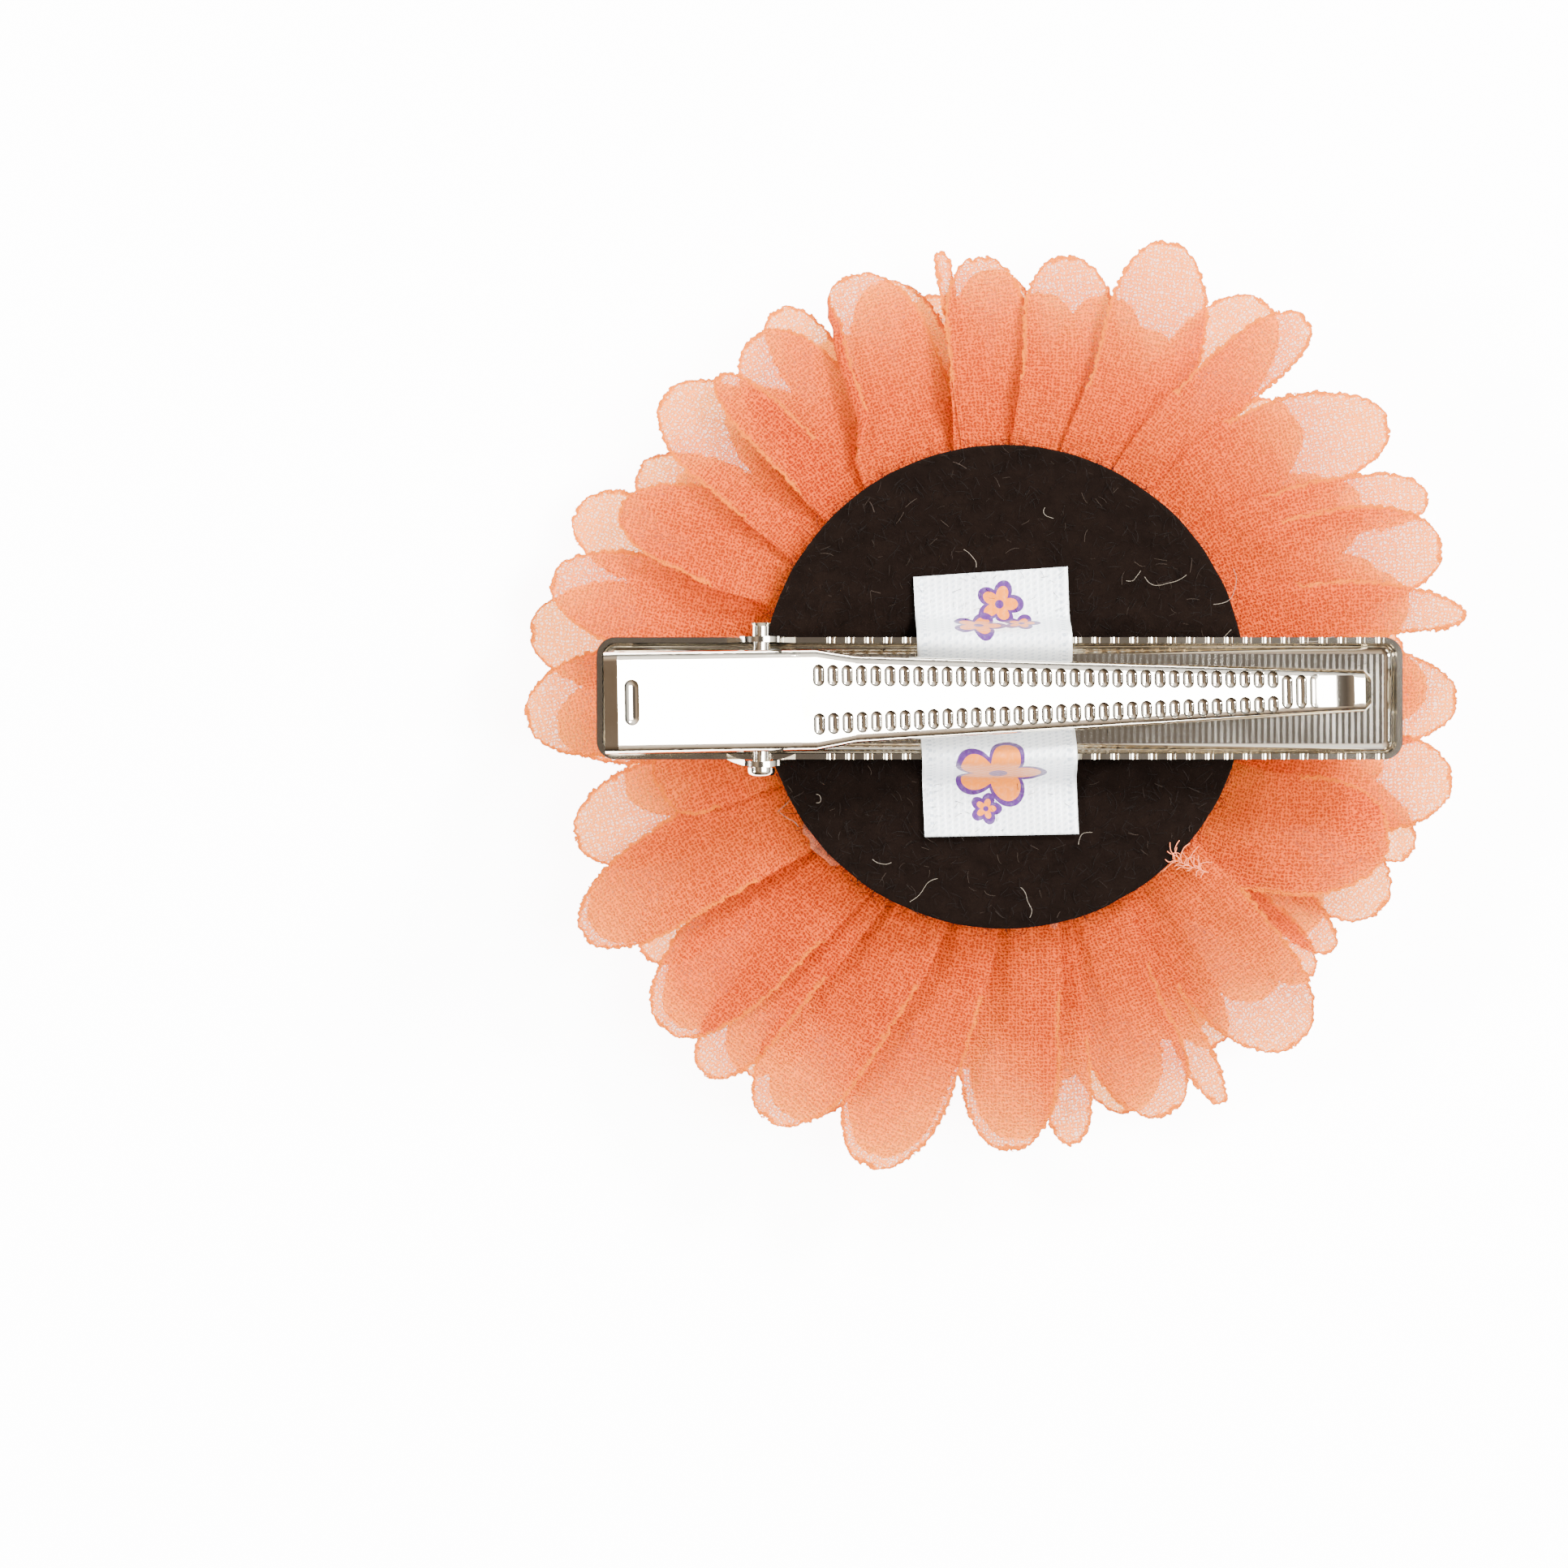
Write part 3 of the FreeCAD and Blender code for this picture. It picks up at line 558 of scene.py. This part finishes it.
tone.data_type = "RGBA"
tone.inputs["A"].default_value = (0.0012, 0.0006, 0.0004, 1)
tone.inputs["B"].default_value = (0.0075, 0.0042, 0.0030, 1)
links.new(mottle.outputs["Fac"], tone.inputs["Factor"])
links.new(tone.outputs["Result"], body.inputs["Base Color"])
raised = nodes.new("ShaderNodeBump")
raised.inputs["Strength"].default_value = 0.9
raised.inputs["Distance"].default_value = 0.00025
links.new(mottle.outputs["Fac"], raised.inputs["Height"])
links.new(raised.outputs["Normal"], body.inputs["Normal"])
mesh.materials.append(wool)
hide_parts("felt_disc")
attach(felt, FIXED)

fuzz_tree = bpy.data.node_groups.new("felt fuzz", "GeometryNodeTree")
for name, kind, in_out in (("Geometry", "Geometry", "INPUT"), ("Fibres per square metre", "Float", "INPUT"),
                           ("Fibre length", "Float", "INPUT"), ("Fibre radius", "Float", "INPUT"),
                           ("Seed", "Int", "INPUT"), ("Material", "Material", "INPUT"),
                           ("Geometry", "Geometry", "OUTPUT")):
    fuzz_tree.interface.new_socket(name, socket_type="NodeSocket" + kind, in_out=in_out)
new, link = fuzz_tree.nodes.new, fuzz_tree.links.new
given, made = new("NodeGroupInput"), new("NodeGroupOutput")
strewn = new("GeometryNodeDistributePointsOnFaces")
link(given.outputs["Geometry"], strewn.inputs["Mesh"])
link(given.outputs["Fibres per square metre"], strewn.inputs["Density"])
link(given.outputs["Seed"], strewn.inputs["Seed"])
fibre = new("GeometryNodeCurveQuadraticBezier")
fibre.inputs["Resolution"].default_value = 3
fibre.inputs["Start"].default_value = (0, 0, 0)
fibre.inputs["Middle"].default_value = (0.30, 0.0, 0.42)
fibre.inputs["End"].default_value = (0.85, 0.25, 0.30)
round_end = new("GeometryNodeCurvePrimitiveCircle")
round_end.inputs["Resolution"].default_value = 3
thickness = new("ShaderNodeMath")
thickness.operation = "DIVIDE"
link(given.outputs["Fibre radius"], thickness.inputs[0])
link(given.outputs["Fibre length"], thickness.inputs[1])
link(thickness.outputs[0], round_end.inputs["Radius"])
tube = new("GeometryNodeCurveToMesh")
link(fibre.outputs["Curve"], tube.inputs["Curve"])
link(round_end.outputs["Curve"], tube.inputs["Profile Curve"])
spin = new("FunctionNodeRandomValue")
spin.data_type = "FLOAT_VECTOR"
spin.inputs["Min"].default_value = (-0.7, -0.7, 0)
spin.inputs["Max"].default_value = (0.7, 0.7, 6.283)
link(given.outputs["Seed"], spin.inputs["Seed"])
turned = new("FunctionNodeRotateRotation")
turned.rotation_space = "LOCAL"
link(strewn.outputs["Rotation"], turned.inputs["Rotation"])
link(spin.outputs["Value"], turned.inputs["Rotate By"])
size = new("FunctionNodeRandomValue")
size.inputs[2].default_value = 0.5
size.inputs[3].default_value = 1.5
link(given.outputs["Seed"], size.inputs["Seed"])
scaled = new("ShaderNodeMath")
scaled.operation = "MULTIPLY"
link(size.outputs[1], scaled.inputs[0])
link(given.outputs["Fibre length"], scaled.inputs[1])
planted = new("GeometryNodeInstanceOnPoints")
link(strewn.outputs["Points"], planted.inputs["Points"])
link(tube.outputs["Mesh"], planted.inputs["Instance"])
link(turned.outputs["Rotation"], planted.inputs["Rotation"])
link(scaled.outputs[0], planted.inputs["Scale"])
real = new("GeometryNodeRealizeInstances")
link(planted.outputs["Instances"], real.inputs["Geometry"])
dressed = new("GeometryNodeSetMaterial")
link(real.outputs["Geometry"], dressed.inputs["Geometry"])
link(given.outputs["Material"], dressed.inputs["Material"])
link(dressed.outputs["Geometry"], made.inputs["Geometry"])

fuzz_wool = bpy.data.materials.new("loose wool fibre")
fuzz_wool.use_nodes = True
body = fuzz_wool.node_tree.nodes["Principled BSDF"]
body.inputs["Roughness"].default_value = 0.8
body.inputs["Specular IOR Level"].default_value = 0.15
each = fuzz_wool.node_tree.nodes.new("ShaderNodeNewGeometry")
shade = fuzz_wool.node_tree.nodes.new("ShaderNodeValToRGB")
shade.color_ramp.elements[0].position, shade.color_ramp.elements[0].color = 0.90, (0.004, 0.0022, 0.0015, 1)
shade.color_ramp.elements[1].position, shade.color_ramp.elements[1].color = 1.0, (0.045, 0.032, 0.024, 1)
fuzz_wool.node_tree.links.new(each.outputs["Random Per Island"], shade.inputs["Fac"])
fuzz_wool.node_tree.links.new(shade.outputs["Color"], body.inputs["Base Color"])

host = bpy.data.objects.new("fuzz_host", mesh)
bpy.context.collection.objects.link(host)
maker = host.modifiers.new("fuzz", "NODES")
maker.node_group = fuzz_tree
inputs = {item.name: item.identifier for item in fuzz_tree.interface.items_tree if item.in_out == "INPUT"}
for name, value in (("Fibres per square metre", 4.0e6), ("Fibre length", 0.00075), ("Fibre radius", 0.000012),
                    ("Seed", 7), ("Material", fuzz_wool)):
    maker[inputs[name]] = value
host.update_tag()
bpy.context.view_layer.update()
fuzz_mesh = bpy.data.meshes.new_from_object(host.evaluated_get(bpy.context.evaluated_depsgraph_get()))
fuzz_mesh.materials.clear()
fuzz_mesh.materials.append(fuzz_wool)
bpy.data.objects.remove(host)
fuzz = bpy.data.objects.new("felt_fuzz", fuzz_mesh)
bpy.context.collection.objects.link(fuzz)
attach(fuzz, FIXED)

# Stray pale hairs on the felt, and a few long loose ones at its edge and over the clip.
rng = random.Random(8)
hairs = bpy.data.curves.new("lint", "CURVE")
hairs.dimensions = "3D"
hairs.bevel_depth = 0.000014
hairs.bevel_resolution = 1
hairs.resolution_u = 6
strays = [(-1.6, 9.1, 1.6, 13.5), (-11.4, 3.9, 1.6, 13.5), (-13.6, -8.4, 1.6, 13.5),
          (-8.6, -10.6, 1.4, 13.5), (-4.2, -11.9, 2.6, 13.5), (1.4, -12.5, 2.4, 13.5),
          (5.3, -9.6, 1.5, 13.5), (-12.4, -6.2, 1.1, 13.5), (8.5, 8.2, 1.4, 13.5),
          (3.6, 12.4, 1.2, 13.5), (12.6, 8.6, 3.4, 13.45), (14.4, 6.6, 3.6, 13.45),
          (15.6, 4.9, 3.0, 13.6), (19.8, 4.2, 2.6, 17.0), (-15.0, -7.4, 3.4, 12.7)]
for x, y, length, z in strays:
    spline = hairs.splines.new("NURBS")
    spline.points.add(5)
    heading, turn = rng.uniform(0, math.tau), rng.uniform(-0.5, 0.5)
    for point in spline.points:
        point.co = (x / 1000, y / 1000, (z + rng.uniform(-0.05, 0.12)) / 1000, 1)
        x += math.cos(heading) * length / 5
        y += math.sin(heading) * length / 5
        heading += turn + rng.uniform(-0.8, 0.8)
    spline.order_u = 4
    spline.use_endpoint_u = True
lint = bpy.data.objects.new("lint", hairs)
bpy.context.collection.objects.link(lint)
lint_mesh = bpy.data.meshes.new_from_object(lint.evaluated_get(bpy.context.evaluated_depsgraph_get()))
bpy.data.objects.remove(lint)
lint = bpy.data.objects.new("stray_hairs", lint_mesh)
bpy.context.collection.objects.link(lint)
pale = bpy.data.materials.new("pale hair")
pale.use_nodes = True
pale.node_tree.nodes["Principled BSDF"].inputs["Base Color"].default_value = (0.20, 0.17, 0.13, 1)
pale.node_tree.nodes["Principled BSDF"].inputs["Roughness"].default_value = 0.5
lint_mesh.materials.clear()
lint_mesh.materials.append(pale)
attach(lint, FIXED)


# ---- Satin ribbon -------------------------------------------------------------------------------
# A 10 mm white satin ribbon, glued to the felt at both ends, that climbs each rim of the clip's base
# and dips into it under the arm. It carries a small blossom print, orange outlined in lilac.
half_width = 5.2
route = ((8.8, 13.42), (7.4, 13.40), (5.9, 13.42), (5.35, 13.75), (4.85, 15.3), (4.5, 16.13), (4.1, 16.28),
         (3.7, 16.1), (3.0, 15.0), (2.45, 14.35), (1.6, 14.26), (-1.2, 14.26), (-2.0, 14.35), (-2.55, 15.0),
         (-3.25, 16.1), (-3.65, 16.28), (-4.05, 16.13), (-4.4, 15.3), (-4.9, 13.75), (-5.45, 13.42),
         (-7.2, 13.40), (-9.0, 13.42))
line = []
for (ya, za), (yb, zb) in zip(route, route[1:]):
    steps = max(1, int(math.hypot(yb - ya, zb - za) / 0.12))
    line += [(ya + (yb - ya) * k / steps, za + (zb - za) * k / steps) for k in range(steps)]
line.append(route[-1])
for _ in range(3):
    line = [line[0]] + [((a[0] + 2 * b[0] + c[0]) / 4, (a[1] + 2 * b[1] + c[1]) / 4)
                        for a, b, c in zip(line, line[1:], line[2:])] + [line[-1]]
points, satin, faces = [], [], []
columns = 49
for layer in (0, 1):
    run = 0.0
    for k, (y, z) in enumerate(line):
        if k:
            run += math.dist(line[k - 1], line[k])
        before, after = line[max(k - 1, 0)], line[min(k + 1, len(line) - 1)]
        dy, dz = after[0] - before[0], after[1] - before[1]
        size = math.hypot(dy, dz)
        ny, nz = dz / size, -dy / size
        end_skew = 0.35 * max(0, (y - 6) / 2.8) + 0.1 * max(0, (-6 - y) / 3)
        for column in range(columns):
            u = column / (columns - 1) * 2 - 1
            x = -0.26 + u * half_width - math.tan(math.radians(2.45)) * y
            wave = 0.05 * math.sin(u * 4 + y * 0.9) + 0.04 * noise.noise(Vector((x * 0.5, y * 0.7, 0)))
            lift = wave + layer * 0.17
            points.append((x / 1000, (y + end_skew * u + ny * lift) / 1000, (z + nz * lift) / 1000))
            satin.append((u * half_width, run, layer))
per_layer = len(line) * columns
for k in range(len(line) - 1):
    for column in range(columns - 1):
        a = k * columns + column
        faces.append((a, a + columns, a + columns + 1, a + 1))
        b = per_layer + a
        faces.append((b + 1, b + columns + 1, b + columns, b))
    for column, flip in ((0, True), (columns - 1, False)):
        a = k * columns + column
        quad = (a, a + columns, per_layer + a + columns, per_layer + a)
        faces.append(quad[::-1] if flip else quad)
for k, flip in ((0, False), (len(line) - 1, True)):
    for column in range(columns - 1):
        a = k * columns + column
        quad = (a, a + 1, per_layer + a + 1, per_layer + a)
        faces.append(quad[::-1] if flip else quad)
mesh = bpy.data.meshes.new("satin_ribbon")
mesh.from_pydata(points, [], faces)
mesh.attributes.new("satin", "FLOAT_VECTOR", "POINT").data.foreach_set(
    "vector", np.array(satin, np.float32).ravel())
mesh.polygons.foreach_set("use_smooth", [True] * len(mesh.polygons))
ribbon = bpy.data.objects.new("satin_ribbon", mesh)
bpy.context.collection.objects.link(ribbon)
satin_mat = bpy.data.materials.new("white satin")
satin_mat.use_nodes = True
nodes, links = satin_mat.node_tree.nodes, satin_mat.node_tree.links
body = nodes["Principled BSDF"]
body.inputs["Roughness"].default_value = 0.42
body.inputs["Sheen Weight"].default_value = 0.3
place = nodes.new("ShaderNodeAttribute")
place.attribute_name = "satin"
split = nodes.new("ShaderNodeSeparateXYZ")
links.new(place.outputs["Vector"], split.inputs[0])


def calc(kind, *values, clamp=False):
    node = nodes.new("ShaderNodeMath")
    node.operation = kind
    node.use_clamp = clamp
    for socket, value in zip(node.inputs, values):
        if isinstance(value, (int, float)):
            socket.default_value = value
        else:
            links.new(value, socket)
    return node.outputs[0]


across, along = split.outputs["X"], split.outputs["Y"]
dots = calc("MULTIPLY", calc("ABSOLUTE", calc("SINE", calc("MULTIPLY", across, math.pi / 0.46))),
            calc("ABSOLUTE", calc("SINE", calc("ADD", calc("MULTIPLY", along, math.pi / 0.40),
                                                calc("MULTIPLY", across, math.pi / 0.92)))))
pore = calc("GREATER_THAN", dots, 0.72)
from_edge = calc("SUBTRACT", half_width, calc("ABSOLUTE", across))
selvedge = calc("MULTIPLY", calc("LESS_THAN", calc("ABSOLUTE", calc("SUBTRACT", from_edge, 0.55)), 0.12),
                calc("GREATER_THAN", calc("SINE", calc("MULTIPLY", along, math.tau / 0.5)), 0.35))
# Painted shade: the weave's pores are painted blue-grey; the stitch line inside each selvedge is a darker
# mark of its own.
pore_shade_and_stitch = calc("MAXIMUM", calc("MULTIPLY", pore, 0.5), calc("MULTIPLY", selvedge, 0.75))


def blossom(x0, y0, size):
    """Distance past the printed blossom's outline: below 0 inside it."""
    dx, dy = calc("SUBTRACT", across, x0), calc("SUBTRACT", along, y0)
    r = calc("SQRT", calc("ADD", calc("MULTIPLY", dx, dx), calc("MULTIPLY", dy, dy)))
    lobes = calc("ABSOLUTE", calc("COSINE", calc("MULTIPLY", calc("ARCTAN2", dy, dx), 2.5)))
    return calc("SUBTRACT", r, calc("MULTIPLY", calc("ADD", calc("MULTIPLY", lobes, 0.42), 0.58), size)), r


orange, lilac = 0.0, 0.0
for x0, y0, size in ((0.5, 2.2, 1.45), (-1.0, 4.6, 1.7), (1.9, 4.2, 1.1),
                     (-0.1, 17.9, 3.1), (-1.0, 21.2, 0.9)):
    outline, from_middle = blossom(x0, y0, size)
    orange = calc("MAXIMUM", orange, calc("MULTIPLY", calc("LESS_THAN", outline, -0.12),
                                          calc("GREATER_THAN", from_middle, size * 0.2)))
    ring = calc("LESS_THAN", calc("ABSOLUTE", outline), 0.2)
    lilac = calc("MAXIMUM", lilac, calc("MAXIMUM", ring, calc("LESS_THAN", from_middle, size * 0.2)))
speckle = nodes.new("ShaderNodeTexNoise")
speckle.inputs["Scale"].default_value = 3.0
speckle.inputs["Detail"].default_value = 4
links.new(place.outputs["Vector"], speckle.inputs["Vector"])
ink = calc("ADD", 0.88, calc("MULTIPLY", speckle.outputs["Fac"], 0.24), clamp=True)
colour = None
for amount, shade in ((pore_shade_and_stitch, (0.40, 0.47, 0.56, 1)), (calc("MULTIPLY", orange, ink), (0.66, 0.165, 0.0, 1)),
                      (calc("MULTIPLY", lilac, ink), (0.060, 0.010, 0.125, 1))):
    mix = nodes.new("ShaderNodeMix")
    mix.data_type = "RGBA"
    links.new(amount, mix.inputs["Factor"])
    if colour is None:
        mix.inputs["A"].default_value = (0.93, 0.97, 1.0, 1)
    else:
        links.new(colour, mix.inputs["A"])
    mix.inputs["B"].default_value = shade
    colour = mix.outputs["Result"]
links.new(colour, body.inputs["Base Color"])
printed = calc("MAXIMUM", orange, lilac)
links.new(calc("SUBTRACT", 0.15, calc("MULTIPLY", printed, 0.15)), body.inputs["Metallic"])
links.new(calc("SUBTRACT", 1.0, calc("MULTIPLY", printed, 0.8)), body.inputs["Specular IOR Level"])
raised = nodes.new("ShaderNodeBump")
raised.inputs["Strength"].default_value = 0.5
raised.inputs["Distance"].default_value = 0.00004
links.new(calc("SUBTRACT", 1.0, dots), raised.inputs["Height"])
links.new(raised.outputs["Normal"], body.inputs["Normal"])
mesh.materials.append(satin_mat)
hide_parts("ribbon_strap")
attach(ribbon, FIXED)


# ---- Clip base, arm and rivet -------------------------------------------------------------------
# Bright nickel plate on stamped steel, as the CAD has it: the ribbed tray, the dimpled arm and the
# tubular rivet. A faint unevenness breaks up the reflections.
nickel = bpy.data.materials.new("bright nickel")
nickel.use_nodes = True
nodes, links = nickel.node_tree.nodes, nickel.node_tree.links
body = nodes["Principled BSDF"]
body.inputs["Metallic"].default_value = 1.0
body.inputs["Base Color"].default_value = (0.84, 0.78, 0.67, 1)
place = nodes.new("ShaderNodeTexCoord")
uneven = nodes.new("ShaderNodeTexNoise")
uneven.inputs["Scale"].default_value = 260
uneven.inputs["Detail"].default_value = 3
links.new(place.outputs["Object"], uneven.inputs["Vector"])
shine = nodes.new("ShaderNodeMapRange")
links.new(uneven.outputs["Fac"], shine.inputs["Value"])
shine.inputs["To Min"].default_value = 0.05
shine.inputs["To Max"].default_value = 0.13
links.new(shine.outputs["Result"], body.inputs["Roughness"])
raised = nodes.new("ShaderNodeBump")
raised.inputs["Strength"].default_value = 0.08
raised.inputs["Distance"].default_value = 0.0002
links.new(uneven.outputs["Fac"], raised.inputs["Height"])
links.new(raised.outputs["Normal"], body.inputs["Normal"])
for node in ("clip_base", "clip_arm", "hinge_rivet"):
    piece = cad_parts[node]
    piece.data.materials.clear()
    piece.data.materials.append(nickel)


# ---- Spring -------------------------------------------------------------------------------------
# A strip of blued spring steel bent round the rivet: its lower leg lies on the base's floor and its
# upper leg rises under the handle.
steel = bpy.data.materials.new("spring steel")
steel.use_nodes = True
nodes, links = steel.node_tree.nodes, steel.node_tree.links
body = nodes["Principled BSDF"]
for socket, value in (("Metallic", 1.0), ("Base Color", (0.42, 0.42, 0.43, 1)), ("Roughness", 0.32)):
    body.inputs[socket].default_value = value
place = nodes.new("ShaderNodeTexCoord")
grain = nodes.new("ShaderNodeTexNoise")
grain.inputs["Scale"].default_value = 2500
links.new(place.outputs["Object"], grain.inputs["Vector"])
raised = nodes.new("ShaderNodeBump")
raised.inputs["Strength"].default_value = 0.2
raised.inputs["Distance"].default_value = 0.0001
links.new(grain.outputs["Fac"], raised.inputs["Height"])
links.new(raised.outputs["Normal"], body.inputs["Normal"])
pin_x, pin_z = -16.1, 17.5
inner, thick, half = 0.8, 0.3, 2.2
low_end, high_end = (-24.8, 13.84), (-24.8, 21.85)
path = []
for k in range(12):
    share = k / 12
    path.append((low_end[0] + (pin_x - low_end[0]) * share,
                 low_end[1] + (pin_z - inner - thick - low_end[1]) * share, 0))
for k in range(17):
    angle = -math.pi / 2 + math.pi * k / 16
    path.append((pin_x + (inner + thick) * math.cos(angle), pin_z + (inner + thick) * math.sin(angle), 0))
for k in range(1, 13):
    share = k / 12
    path.append((pin_x + (high_end[0] - pin_x) * share,
                 pin_z + inner + thick + (high_end[1] - pin_z - inner - thick) * share, 0))
points, faces = [], []
for k, (x, z, _) in enumerate(path):
    before, after = path[max(k - 1, 0)], path[min(k + 1, len(path) - 1)]
    dx, dz = after[0] - before[0], after[1] - before[1]
    size = math.hypot(dx, dz)
    nx, nz = -dz / size * thick, dx / size * thick
    for y in (0.23 - half, 0.23 + half):
        points.append((x / 1000, y / 1000, z / 1000))
        points.append(((x + nx) / 1000, y / 1000, (z + nz) / 1000))
for k in range(len(path) - 1):
    a, b = 4 * k, 4 * k + 4
    faces += [(a, a + 2, b + 2, b), (a + 1, b + 1, b + 3, a + 3),
              (a, b, b + 1, a + 1), (a + 2, a + 3, b + 3, b + 2)]
last = 4 * (len(path) - 1)
faces += [(0, 1, 3, 2), (last, last + 2, last + 3, last + 1)]
mesh = bpy.data.meshes.new("leaf_spring")
mesh.from_pydata(points, [], faces)
mesh.materials.append(steel)
spring = bpy.data.objects.new("leaf_spring", mesh)
bpy.context.collection.objects.link(spring)
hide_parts("clip_spring")
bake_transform(spring)


# ---- Floor, light and camera --------------------------------------------------------------------
# A white table that glows softly, so its light comes up through the chiffon; a softbox to the right of
# overhead that the clip's arm reflects, a key from the upper right and a low light from the left.
floor_mesh = bpy.data.meshes.new("floor")
floor_mesh.from_pydata([(-2, -2, 0), (2, -2, 0), (2, 2, 0), (-2, 2, 0)], [], [(0, 1, 2, 3)])
floor = bpy.data.objects.new("floor", floor_mesh)
bpy.context.collection.objects.link(floor)
paper = bpy.data.materials.new("white table")
paper.use_nodes = True
nodes, links = paper.node_tree.nodes, paper.node_tree.links
nodes["Principled BSDF"].inputs["Base Color"].default_value = (0.9, 0.9, 0.9, 1)
nodes["Principled BSDF"].inputs["Roughness"].default_value = 0.8
nodes["Principled BSDF"].inputs["Emission Color"].default_value = (1, 1, 1, 1)
seen = nodes.new("ShaderNodeLightPath")
glow = nodes.new("ShaderNodeMapRange")
links.new(seen.outputs["Is Camera Ray"], glow.inputs["Value"])
glow.inputs["To Min"].default_value = 6.0
glow.inputs["To Max"].default_value = 9.6
links.new(glow.outputs["Result"], nodes["Principled BSDF"].inputs["Emission Strength"])
floor_mesh.materials.append(paper)

for name, place, size, power in (
    ("overhead softbox", (0.46, 0.03, 0.92), (0.52, 0.55), 24.0),
    ("key from the upper right", (0.45, 0.50, 0.55), (0.20, 0.20), 22.0),
    ("low light from the left", (-0.70, -0.12, 0.42), (0.16, 0.16), 15.0),
):
    light = bpy.data.lights.new(name, "AREA")
    light.shape = "RECTANGLE"
    light.size, light.size_y = size
    light.energy = power
    lamp = bpy.data.objects.new(name, light)
    lamp.location = place
    lamp.rotation_euler = (Vector((0, 0, 0.01)) - Vector(place)).to_track_quat("-Z", "Y").to_euler()
    bpy.context.collection.objects.link(lamp)
world = bpy.data.worlds.new("studio")
world.use_nodes = True
nodes, links = world.node_tree.nodes, world.node_tree.links
where = nodes.new("ShaderNodeTexCoord")
height = nodes.new("ShaderNodeSeparateXYZ")
links.new(where.outputs["Generated"], height.inputs[0])
fade = nodes.new("ShaderNodeMapRange")
links.new(height.outputs["Z"], fade.inputs["Value"])
for limit, value in (("From Min", 0.15), ("From Max", 0.75), ("To Min", 0.1), ("To Max", 2.2)):
    fade.inputs[limit].default_value = value
dark_top = nodes.new("ShaderNodeMapRange")  # the ceiling straight above is dark
links.new(height.outputs["Z"], dark_top.inputs["Value"])
for limit, value in (("From Min", 0.92), ("From Max", 0.99), ("To Min", 1.0), ("To Max", 0.12)):
    dark_top.inputs[limit].default_value = value
both = nodes.new("ShaderNodeMath")
both.operation = "MULTIPLY"
links.new(fade.outputs["Result"], both.inputs[0])
links.new(dark_top.outputs["Result"], both.inputs[1])
sideways = nodes.new("ShaderNodeVectorMath")  # the window side is bright, the room side dark and brown
sideways.operation = "DOT_PRODUCT"
links.new(where.outputs["Generated"], sideways.inputs[0])
sideways.inputs[1].default_value = (0.8, 0.6, 0)
window = nodes.new("ShaderNodeMapRange")
links.new(sideways.outputs["Value"], window.inputs["Value"])
for limit, value in (("From Min", -0.5), ("From Max", 0.5), ("To Min", 0.09)):
    window.inputs[limit].default_value = value
lit = nodes.new("ShaderNodeMath")
lit.operation = "MULTIPLY"
links.new(both.outputs[0], lit.inputs[0])
links.new(window.outputs["Result"], lit.inputs[1])
links.new(lit.outputs[0], nodes["Background"].inputs["Strength"])
room = nodes.new("ShaderNodeMix")
room.data_type = "RGBA"
links.new(window.outputs["Result"], room.inputs["Factor"])
room.inputs["A"].default_value = (1.0, 0.68, 0.42, 1)
room.inputs["B"].default_value = (1.0, 0.98, 0.95, 1)
links.new(room.outputs["Result"], nodes["Background"].inputs["Color"])
bpy.context.scene.world = world

camera_data = bpy.data.cameras.new("camera")
camera_data.lens = 148.5
camera_data.clip_end = 10
camera = bpy.data.objects.new("camera", camera_data)
camera.location = (-0.01457, -0.00552, 0.450)
bpy.context.collection.objects.link(camera)
bpy.context.scene.camera = camera
